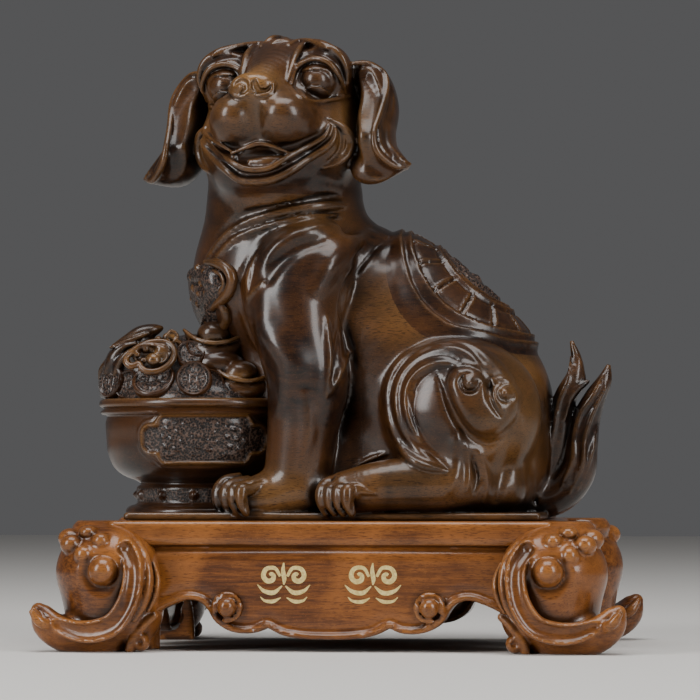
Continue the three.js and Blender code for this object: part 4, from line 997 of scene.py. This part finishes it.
def beyond(depth_at, past):
    """The part of a carving on one side of a cut, where past is how far a point is over it. Its skin
    sinks by the square of that, under the part on the other side, and ends an overlap away."""
    def depth(points):
        over = past(points)
        return np.maximum(depth_at(points) + 0.1 * np.maximum(over, 0) ** 2, over - overlap)
    return depth


def rubbed_spots(points, spots):
    """Where the stain is rubbed thin, and where painted light brightens a lit patch: soft spots, each
    about a middle and as wide as its radii.
    """
    share = np.zeros(len(points))
    for middle, radii, strength in spots:
        share = np.maximum(share, strength * np.exp(-(((points - middle) / radii) ** 2).sum(1)))
    return share


def past_haunch(points):
    """How far a point is outside the near haunch's block: in front of it, behind or above."""
    return np.max([haunch_from[0] - points[:, 0], points[:, 1] - haunch_from[1],
                   points[:, 2] - haunch_from[2]], axis=0)


def past_body(points):
    """How far a point is above the neck's cut or inside the near haunch's block."""
    return np.maximum(points[:, 2] - neck_cut, -past_haunch(points))


def past_blanket(points):
    """How far a point is outside the blanket's edge."""
    return blanket_measure(points)[0] - blanket_radius - 2.6


def blanket_plate(points):
    """The blanket with no more than 4 of the back beneath it."""
    return np.max([dog(points), -4 - plain_dog(points), -60 - blanket_measure(points)[2]], axis=0)


def pendant_plate(points):
    """The pendant with no more than 3 of the chest beneath it."""
    return np.maximum(pendant(points), -3 - bare_body(points))


# Spots made bright on the dog; those on the flank and upper haunch, at (34, -42, 168) and (94, -34, 138),
# are painted light where the light falls on that side, and the rest are rubbed wear.
body_wear_and_light = [((88, -48, 112), (22, 30, 34), 0.5), ((-30, -60, 76), (24, 20, 12), 0.45),
            ((40, -60, 82), (40, 20, 12), 0.3), ((-10, -50, 214), (40, 30, 12), 0.3),
            ((34, -42, 168), (26, 24, 22), 0.3), ((94, -34, 138), (20, 26, 20), 0.45)]


def dog_piece(name, depth_at, past, low, high, cell, spots, stipple=None):
    """A piece of the dog on one side of a cut, with painted shade and pooled stain in its recesses, and
    its rubbed spots, some of them painted light, made bright.
    """
    places, faces, slope = skin(above(beyond(depth_at, past), figure_foot), low, high, cell)
    marks = {"hollow": hollows(dog, places, slope), "rubbed": rubbed_spots(places, spots),
             "worn": worn_edges(places, faces) * np.clip(-past(places) / 2, 0, 1)}
    if stipple is not None:
        marks["stipple"] = stipple(places)
    piece(name, places, faces, "dog_with_treasure_bowl", dark_wood, **marks)


def blanket_stipple(places):
    """The blanket's sunk field is stippled."""
    out, _, along = blanket_measure(places)
    return ((out < field_radius) & (along > -40)).astype(float)


# The skin is made in four pieces, with finer cells where the carving is finer.
dog_piece("dog_body", plain_dog, past_body, (-110, -74, 58), (140, 74, 230), 1.5, body_wear_and_light)
dog_piece("dog_near_haunch", plain_dog, past_haunch, (8, -74, 58), (140, -4, 167), 1.15, body_wear_and_light)
dog_piece("coin_blanket", blanket_plate, past_blanket, (0, -58, 124), (112, 58, 222), 1.05, [],
          blanket_stipple)
face_rub = [(head_at + np.array(place) @ head_turn, radii, strength) for place, radii, strength in (
    ((-2, 37, -11), (23, 23, 15), 0.36), ((-2, 46, -3), (12, 13, 9), 1.0),
    ((38, 6, -14), (13, 26, 16), 0.6), ((-34, 8, -12), (11, 20, 18), 0.5))]
dog_piece("dog_head", plain_dog, lambda points: neck_cut - points[:, 2], (-112, -76, 218), (48, 44, 310),
          0.84, face_rub)

# The pendant on the chest: a low stippled plate, with two rolled lobes and a cluster of round fruits
# at each side of it. It is carved with the dog, under the lowest fold of the neck.
shield, shield_middle, shield_reach = egg((-66, 0, 171.5), (30, 31, 13))
shield_height = 2.2
side_ground = [[-74, 184, 5], [-63, 183, 7], [-60, 178, 7], [-63, 171, 6], [-62, 161, 5]]
ground_steps = [
    add((lambda points: np.maximum(bare_body(points) - shield_height, shield(points)),
         shield_middle, shield_reach + 8), 1),
    *on_both_sides(add, side_ground, -5, 1, pieces=6),
]
pendant_ground = carve(ground_steps)
pendant_steps = list(ground_steps)
lobes = [
    (1.2, [
        [-67, 190.4, 1.4], [-60.6, 189.6, 2.4], [-54.4, 186.4, 2.7], [-51.8, 181.2, 2.8],
        [-53.6, 175.2, 2.7], [-58.6, 170.4, 2.5], [-64, 167.4, 1.4]]),
    (0.6, [
        [-65, 186.6, 0.7], [-60.8, 185.6, 1.2], [-57, 182.8, 1.3], [-56.2, 179, 1.3],
        [-58.6, 175.2, 1.2], [-62.6, 172, 0.7]]),
    (1.2, [
        [-60.4, 169.6, 1.4], [-56.6, 166.6, 2.3], [-56, 161.8, 2.4], [-59.4, 157.4, 2.2],
        [-64, 154.4, 1.3]]),
    (0.8, [[-75, 165, 0.9], [-70.6, 163.6, 1.7], [-66.4, 159.6, 1.7], [-66, 154, 0.9]]),
]
for lift, knots in lobes:
    pendant_steps.extend(on_both_sides(add, knots, lift, 0.5))
fruits = ((-71, 187.6, 2.3), (-74.8, 183.4, 2.3), (-67, 185.4, 2.1), (-68.4, 180.2, 2.3),
          (-73.4, 178, 2.6), (-70.4, 175, 2.1), (-75.4, 173, 2.3), (-71.4, 170.2, 2.2),
          (-77.6, 178.6, 2.3), (-66.4, 175.4, 1.7), (-75.6, 167.6, 1.9))
for fruit in fruits:
    for view in both_views:
        *middle, radius = laid_on(bare_body, [fruit], view, 2.2)[0]
        pendant_steps.append(add(ball_at(middle, radius), 0.4))
pendant = carve(pendant_steps)
places, faces, slope = skin(pendant_plate, (-92, -54, 148), (-44, 54, 196), 0.8)
piece("neck_pendant", places, faces, "dog_with_treasure_bowl", dark_wood,
      hollow=hollows(pendant, places, slope, 3.0), worn=worn_edges(places, faces),
      stipple=(in_parts(pendant_ground, places) < 0.3).astype(float))

# The bowl with its foot ring and rolled double rim: turned, then carved with a panel of strokes and
# round studs on the foot. It is one carving with the dog, in the same dark lacquer.
foot_radius = 33
stud_height = 75
panel_turn = 10
panel_height = 102.6
wall_per_degree = 0.845
bowl_profile = np.array([
    [38, 63.4], [38.5, 67.5], [36.5, 69.5], [33, 71], [33, 79], [31, 80.5], [33, 82], [40, 85],
    [44.5, 89], [47.5, 96], [48.4, 104], [48.8, 111], [48.2, 114.5], [50.4, 115.2], [51.4, 116.4],
    [49.8, 118.2], [51.8, 119.4], [52, 121], [51, 122.6], [49, 123], [44, 122]])


def revolved(rows):
    """Faces of a grid of rows by columns whose columns close on themselves, with a single corner at
    each end: the grid's corners, then the first end, then the last."""
    count, around, _ = rows.shape
    ids = np.arange(count * around).reshape(count, around)
    nxt = np.roll(ids, -1, 1)
    quads = np.stack([ids[:-1], nxt[:-1], nxt[1:], ids[1:]], -1).reshape(-1, 4)
    first = np.full(around, count * around)
    bottom = np.stack([nxt[0], ids[0], first], 1)
    top = np.stack([ids[-1], nxt[-1], first + 1], 1)
    places = np.vstack([rows.reshape(-1, 3), rows[0].mean(0), rows[-1].mean(0)])
    return places, [quads, np.vstack([bottom, top])]


def rounded_panel(across, up, half_width, half_height, rounding):
    """How far places lie outside a flat block with rounded corners."""
    over = np.stack([np.abs(across) - half_width, np.abs(up) - half_height]) + rounding
    return np.minimum(over.max(0), 0) + span(*np.maximum(over, 0)) - rounding


def with_ends(values):
    """The values of a grid's corners, and none for the two that close its ends."""
    return np.append(values.ravel(), [0, 0])


def bowl_rows():
    """The bowl's profile turned about its axis, with the panel's rim around a sunk ground, three groups
    of short slanting strokes in it, and the studs standing out from the foot."""
    fine = smooth_line(bowl_profile, 24)
    closer = np.where((fine[1:, 1] > 88) & (fine[1:, 1] < 117), 0.55, 1.0)
    count = np.concatenate([[0], np.cumsum(span(*np.diff(fine, axis=0).T) / closer)])
    even = np.linspace(0, count[-1], int(count[-1]) + 1)
    turn = np.concatenate([np.arange(-46, 46, 0.65), np.arange(46, 314, 1.6)])
    height, angle = np.meshgrid(np.interp(even, count, fine[:, 1]), turn, indexing="ij")
    radius = np.interp(even, count, fine[:, 0])[:, None]
    facing = (angle + 180) % 360 - 180
    across, up = (facing - panel_turn) * wall_per_degree, height - panel_height
    edge = smallest(rounded_panel(across, up, 33, 7, 5.4), rounded_panel(across, up, 23.5, 11.8, 3), 3)
    wall = (height > 88) & (height < 116.6)
    ground = wall & (edge < -1.2)
    radius = radius + np.where(wall, 1.3 * swell(edge, 0.9) + 0.5 * swell(edge - 2.4, 0.8), 0)
    group = (across / 16 + 0.5) % 1 * 16 - 8
    slant = (up + 0.22 * group) / 4.4
    dash = (group / 5.6 + 0.37 * np.floor(slant + 0.5) + 0.5) % 1 - 0.5
    stroke = 0.7 * swell(((slant + 0.5) % 1 - 0.5) * 4.4, 0.8) * falls(np.abs(dash), 0.33, 0.05)
    held = (np.abs(group) < 6.4) & (np.abs(across) < 23) & (np.abs(up) < 8) & (edge < -2.4)
    radius = radius - np.where(ground, 0.5, 0) + np.where(held, stroke, 0)
    stud = (facing - 1.4 + 15) % 30 - 15
    near = span(np.radians(stud) * foot_radius, height - stud_height)
    radius = radius + np.where((height > 70) & (height < 80), np.maximum(0, 2.5 - near ** 2 / 2.6), 0)
    band = (height > 71.5) & (height < 78.5) & (near > 2.8)
    turned = np.radians(angle)
    rows = np.stack([bowl_at[0] + radius * np.sin(turned), bowl_at[1] - radius * np.cos(turned),
                     height], -1)
    rubbed = 0.4 * swell(height - 123.4, 1.2) + 0.2 * swell(height - 119.4, 0.8)
    rubbed += 0.4 * swell(edge, 1) * wall
    return rows, (ground | band).astype(float), rubbed


rows, stippled, rubbed = bowl_rows()
places, faces = revolved(rows)
piece("bowl", places, faces, "dog_with_treasure_bowl", dark_wood,
      stipple=with_ends(stippled), rubbed=with_ends(rubbed))

# The heap in the bowl: a mound with boat-shaped ingots, a rimmed dish of beads and a leaf, carved
# with the bowl; the coins lean around its edge.
mound_steps = [
    add(egg((bowl_at[0], bowl_at[1], 119), (46, 46, 25)), 1),
    add(egg((-76, 4, 138), (30, 26, 18)), 6),
    add(egg((-98, -2, 138), (20, 22, 14)), 5),
]


def ingot(rim, middle_height, low, side):
    """A boat-shaped ingot, as steps: a hull below a rim drawn from knots (across, up), and a dome on
    its middle. Low is how far it reaches down, and side is where its near edge lies."""
    rim = np.array(rim, float)
    middle = (rim[0, 0] + rim[-1, 0]) / 2
    share = 1 - ((rim[:, 0] - middle) / (rim[-1, 0] - rim[0, 0]) * 2) ** 2
    deep = side + 9 * (1 - 0.6 * share)
    across, up = rim.T
    body = np.stack([across, deep + 5, up - 0.5 * low * share - 0.5, 0.9 + 0.5 * low * share], 1)
    edge = np.stack([across, deep - 1.5 * share, up, 0.9 + 0.4 * share], 1)
    return [add(limb(body, (1, 0.75, 1)), 0.8),
            add(egg((middle, side + 10, middle_height - 5), (8.6, 8, 6.4)), 0.8),
            add(limb(edge, pieces=4), 0.6)]


dish_rim = [[-105.6, 143.2], [-101.6, 147.2], [-95, 150.5], [-85.7, 150.5], [-81.7, 145.9], [-83, 140.6],
            [-88.3, 136.6], [-93.7, 136], [-97.6, 137.9], [-98.9, 139.9], [-102.9, 138.6], [-105.6, 141]]
heap_steps = mound_steps + [
    add(limb([[-124, -8, 133, 1], [-122.4, -10, 138, 1.8], [-117.6, -12, 141.6, 2.2],
              [-113, -14, 141, 1]]), 0.8),
    add(limb([[-119, -17, 136, 1], [-115.5, -19, 143.5, 1.8], [-110, -20, 148.4, 1.8],
              [-104, -20, 150.4, 0.8]]), 0.8),
    add(limb([[-114, -21, 135, 0.9], [-110.5, -23, 142, 1.6], [-106, -24, 146.4, 1.4],
              [-102, -24, 148, 0.7]]), 0.8),
    add(egg((-112, -14, 141), (8, 8, 9)), 3),
    add(limb([[-115.5, -18, 149.6, 0.8], [-109, -15, 152.6, 2.6], [-102.6, -12, 155.6, 4],
              [-96.6, -11, 157.4, 3.2], [-92.6, -11, 158.4, 1.4]], (1, 0.7, 1)), 0.8),
    add(egg((-104, -10, 149), (10, 9, 7)), 2),
    add(limb([[-116.4, -20.4, 148.6, 0.8], [-109.6, -19.4, 151.2, 1.2], [-103, -18.4, 153.4, 1.3],
              [-97.6, -17.6, 155.8, 0.9]]), 0.4),
    add(egg((-94, -31.5, 143.4), (11.4, 6, 7.2), (28, 0, -8)), 1),
    dig(egg((-93.6, -36.5, 144.6), (8.6, 4.6, 5), (28, 0, -8)), 0.8),
]
closed_rim = [[x, -36.4 + (z - 143) * 0.55, z, 1.6] for x, z in dish_rim + dish_rim[:1]]
heap_steps.append(add(limb(closed_rim, pieces=4), 0.5))
beads = ((-92.3, -33.6, 141.4, 4.3), (-88.2, -32, 146.2, 4), (-96.4, -33, 147.4, 1.9),
         (-100.4, -34.6, 144.6, 1.7), (-94, -31.6, 147, 1.6), (-97.4, -35, 141.6, 1.6),
         (-91, -27, 152, 2), (-87, -27, 153.6, 1.9), (-84.3, -26, 153.3, 2.7), (-80.4, -27, 150.4, 1.7))
heap_steps += [add(ball_at(middle, radius), 0.35) for *middle, radius in beads]
heap_steps += [
    add(limb([[-87.6, -28, 152.6, 0.8], [-84.4, -28.4, 156.6, 0.9], [-81.2, -28, 153.6, 0.9],
              [-84.4, -28.6, 150.2, 0.9], [-87.6, -28, 152.6, 0.8]], pieces=4), 0.4),
    add(egg((-62, -24, 140), (14, 12, 8)), 3),
]
heap_steps += ingot([[-78.4, 157], [-75, 154.4], [-70, 151.8], [-63, 150.3], [-56, 151], [-51, 153],
                     [-48.2, 154.6]], 160, 8.5, -35)
heap_steps += ingot([[-64.4, 140.4], [-60.4, 136.8], [-55.6, 134], [-49.6, 132], [-43.4, 131.4],
                     [-38.6, 132.6], [-34.6, 134.4]], 140.4, 9, -40)
heap = carve(heap_steps)
mound = carve(mound_steps)
places, faces, slope = skin(heap, (-128, -50, 114), (-24, 50, 168), 0.9)
bare = np.abs(in_parts(mound, places)) < 0.25
heap_rub = [((-91, -33, 143.6), (6, 6, 5), 0.9), ((-84.3, -27, 153.3), (4, 4, 4), 0.8),
            ((-100, -23, 155), (12, 6, 3), 0.5), ((-63, -34, 151), (16, 5, 3), 0.5),
            ((-49, -39, 133), (16, 5, 3), 0.6), ((-103, -36, 143), (5, 5, 8), 0.5)]
piece("treasure_heap", places, faces, "dog_with_treasure_bowl", dark_wood,
      hollow=hollows(heap, places, slope, 4.0), stipple=bare.astype(float),
      worn=worn_edges(places, faces), rubbed=rubbed_spots(places, heap_rub))

# The coins leaning around the heap's edge, carved with it: each has its middle, its radius and the
# way its face looks. Their relief is a rim, a ring, a square frame and four bars.
coins = [((-115.6, -19.4, 131.4), 8.4, (-0.62, -0.76, 0.2)),
         ((-106, -25.4, 129.6), 7.6, (-0.5, -0.83, 0.24)),
         ((-91.5, -36.4, 131.4), 10.8, (-0.12, -0.74, 0.66)),
         ((-70.5, -42.6, 132.2), 8.8, (0.05, -0.97, 0.22)),
         ((-64, -37.4, 129.6), 7.6, (0.2, -0.94, 0.26)), ((-74, -31.6, 144.5), 7.4, (0.1, -0.85, 0.5)),
         ((-70.4, -28, 148), 6.6, (0.18, -0.8, 0.56)), ((-121, 3, 131), 8, (-0.9, -0.1, 0.35)),
         ((-112, 22, 132), 9, (-0.7, 0.55, 0.4)), ((-93, 38, 132), 10, (-0.3, 0.85, 0.42)),
         ((-70, 42, 132), 10, (0.05, 0.95, 0.4)), ((-88, 26, 146), 9, (-0.1, 0.75, 0.65))]
coin_thickness = 3.6
ground_share = 0.84
back_rings = 4


def coin_rows(middle, radius, normal):
    """A coin as rings from the back's middle over the edge to the face's middle: the face has a
    rolled rim, a fine ring, a small square frame and four short bars on a stippled ground."""
    normal = np.array(normal) / np.linalg.norm(normal)
    side = np.cross((0, 0, 1), normal)
    side /= np.linalg.norm(side)
    up = np.cross(normal, side)
    share = np.concatenate([np.linspace(0.1, 1, back_rings), np.linspace(1, 0.02, 24)])
    turn = np.linspace(0, 2 * pi, 72, endpoint=False)
    out, angle = np.meshgrid(share, turn, indexing="ij")
    u, v = out * np.cos(angle), out * np.sin(angle)
    square = np.maximum(np.abs(u), np.abs(v))
    face = 0.9 * swell(out - 0.9, 0.07) - 0.6 * falls(out, ground_share, 0.02)
    face += 0.35 * swell(square - 0.2, 0.06) + 0.4 * swell(out - 0.74, 0.04)
    bar = (square > 0.38) & (square < 0.64)
    face += np.where(bar, 0.5, 0) * swell(np.minimum(np.abs(u), np.abs(v)) - 0.09, 0.05)
    front = (np.arange(len(share)) >= back_rings)[:, None]
    height = np.where(front, coin_thickness / 2 + face, -coin_thickness / 2)
    rows = (np.array(middle) + radius * (u[..., None] * side + v[..., None] * up)
            + height[..., None] * normal)
    return rows, ((out < ground_share) & front).astype(float)


struck = [coin_rows(*coin) for coin in coins]
places, faces = joined([revolved(rows) for rows, _ in struck])
piece("coins", places, faces, "dog_with_treasure_bowl", dark_wood,
      stipple=np.concatenate([with_ends(ground) for _, ground in struck]))

# The studio: a plain pale floor, three soft lights and a pale surround. They aren't part of the
# object.
floor_mesh = bpy.data.meshes.new("floor")
floor_half = 3.0
floor_corners = ((-1, -1), (1, -1), (1, 1), (-1, 1))
floor_mesh.from_pydata([(floor_half * x, floor_half * y, 0) for x, y in floor_corners], [], [(0, 1, 2, 3)])
floor_finish = bpy.data.materials.new("pale_floor")
floor_finish.use_nodes = True
shader = floor_finish.node_tree.nodes["Principled BSDF"]
shader.inputs["Base Color"].default_value = (0.62, 0.6, 0.57, 1)
shader.inputs["Roughness"].default_value = 0.7
floor_mesh.materials.append(floor_finish)
floor = bpy.data.objects.new("floor", floor_mesh)
bpy.context.scene.collection.objects.link(floor)


def soft_light(name, place, aim, size, power):
    """A square soft light at a place, turned to its aim."""
    data = bpy.data.lights.new(name, "AREA")
    data.shape = "RECTANGLE"
    data.size, data.size_y = size
    data.energy = power
    made = bpy.data.objects.new(name, data)
    made.location = place
    way = np.array(aim) - place
    made.rotation_euler = (np.arctan2(span(way[0], way[1]), -way[2]), 0, np.arctan2(-way[0], way[1]))
    bpy.context.scene.collection.objects.link(made)


soft_light("left_softbox", (-1.25, -1.2, 0.85), (0, 0, 0.17), (0.55, 1.3), 28)
soft_light("right_softbox", (1.35, -1.1, 0.85), (0, 0, 0.17), (0.55, 1.3), 22)
soft_light("top_softbox", (0, -0.3, 1.6), (0, 0, 0.15), (1.2, 0.9), 22)
world = bpy.data.worlds.new("pale_surround")
world.use_nodes = True
surround = world.node_tree.nodes["Background"]
surround.inputs["Color"].default_value = (0.8, 0.8, 0.82, 1)
surround.inputs["Strength"].default_value = 0.12
bpy.context.scene.world = world

# The camera: 2 m away and a little above the plinth's top, tipped up so that the horizon lies below
# the picture's middle by horizon_drop, in pixels.
eye_distance = 2.0
eye_height = 0.091
turned_right = 7.0
lens = 205.7
film_width = 36
frame_pixels = 700
horizon_drop = 113
raised = degrees(atan(horizon_drop * film_width / frame_pixels / lens))
camera_data = bpy.data.cameras.new("camera")
camera_data.lens = lens
camera_data.sensor_width = film_width
camera_data.clip_end = 20
camera = bpy.data.objects.new("camera", camera_data)
camera.location = (eye_distance * sin(radians(turned_right)), -eye_distance * cos(radians(turned_right)),
                   eye_height)
camera.rotation_euler = (radians(90 + raised), 0, radians(turned_right - 0.04))
bpy.context.scene.collection.objects.link(camera)
bpy.context.scene.camera = camera
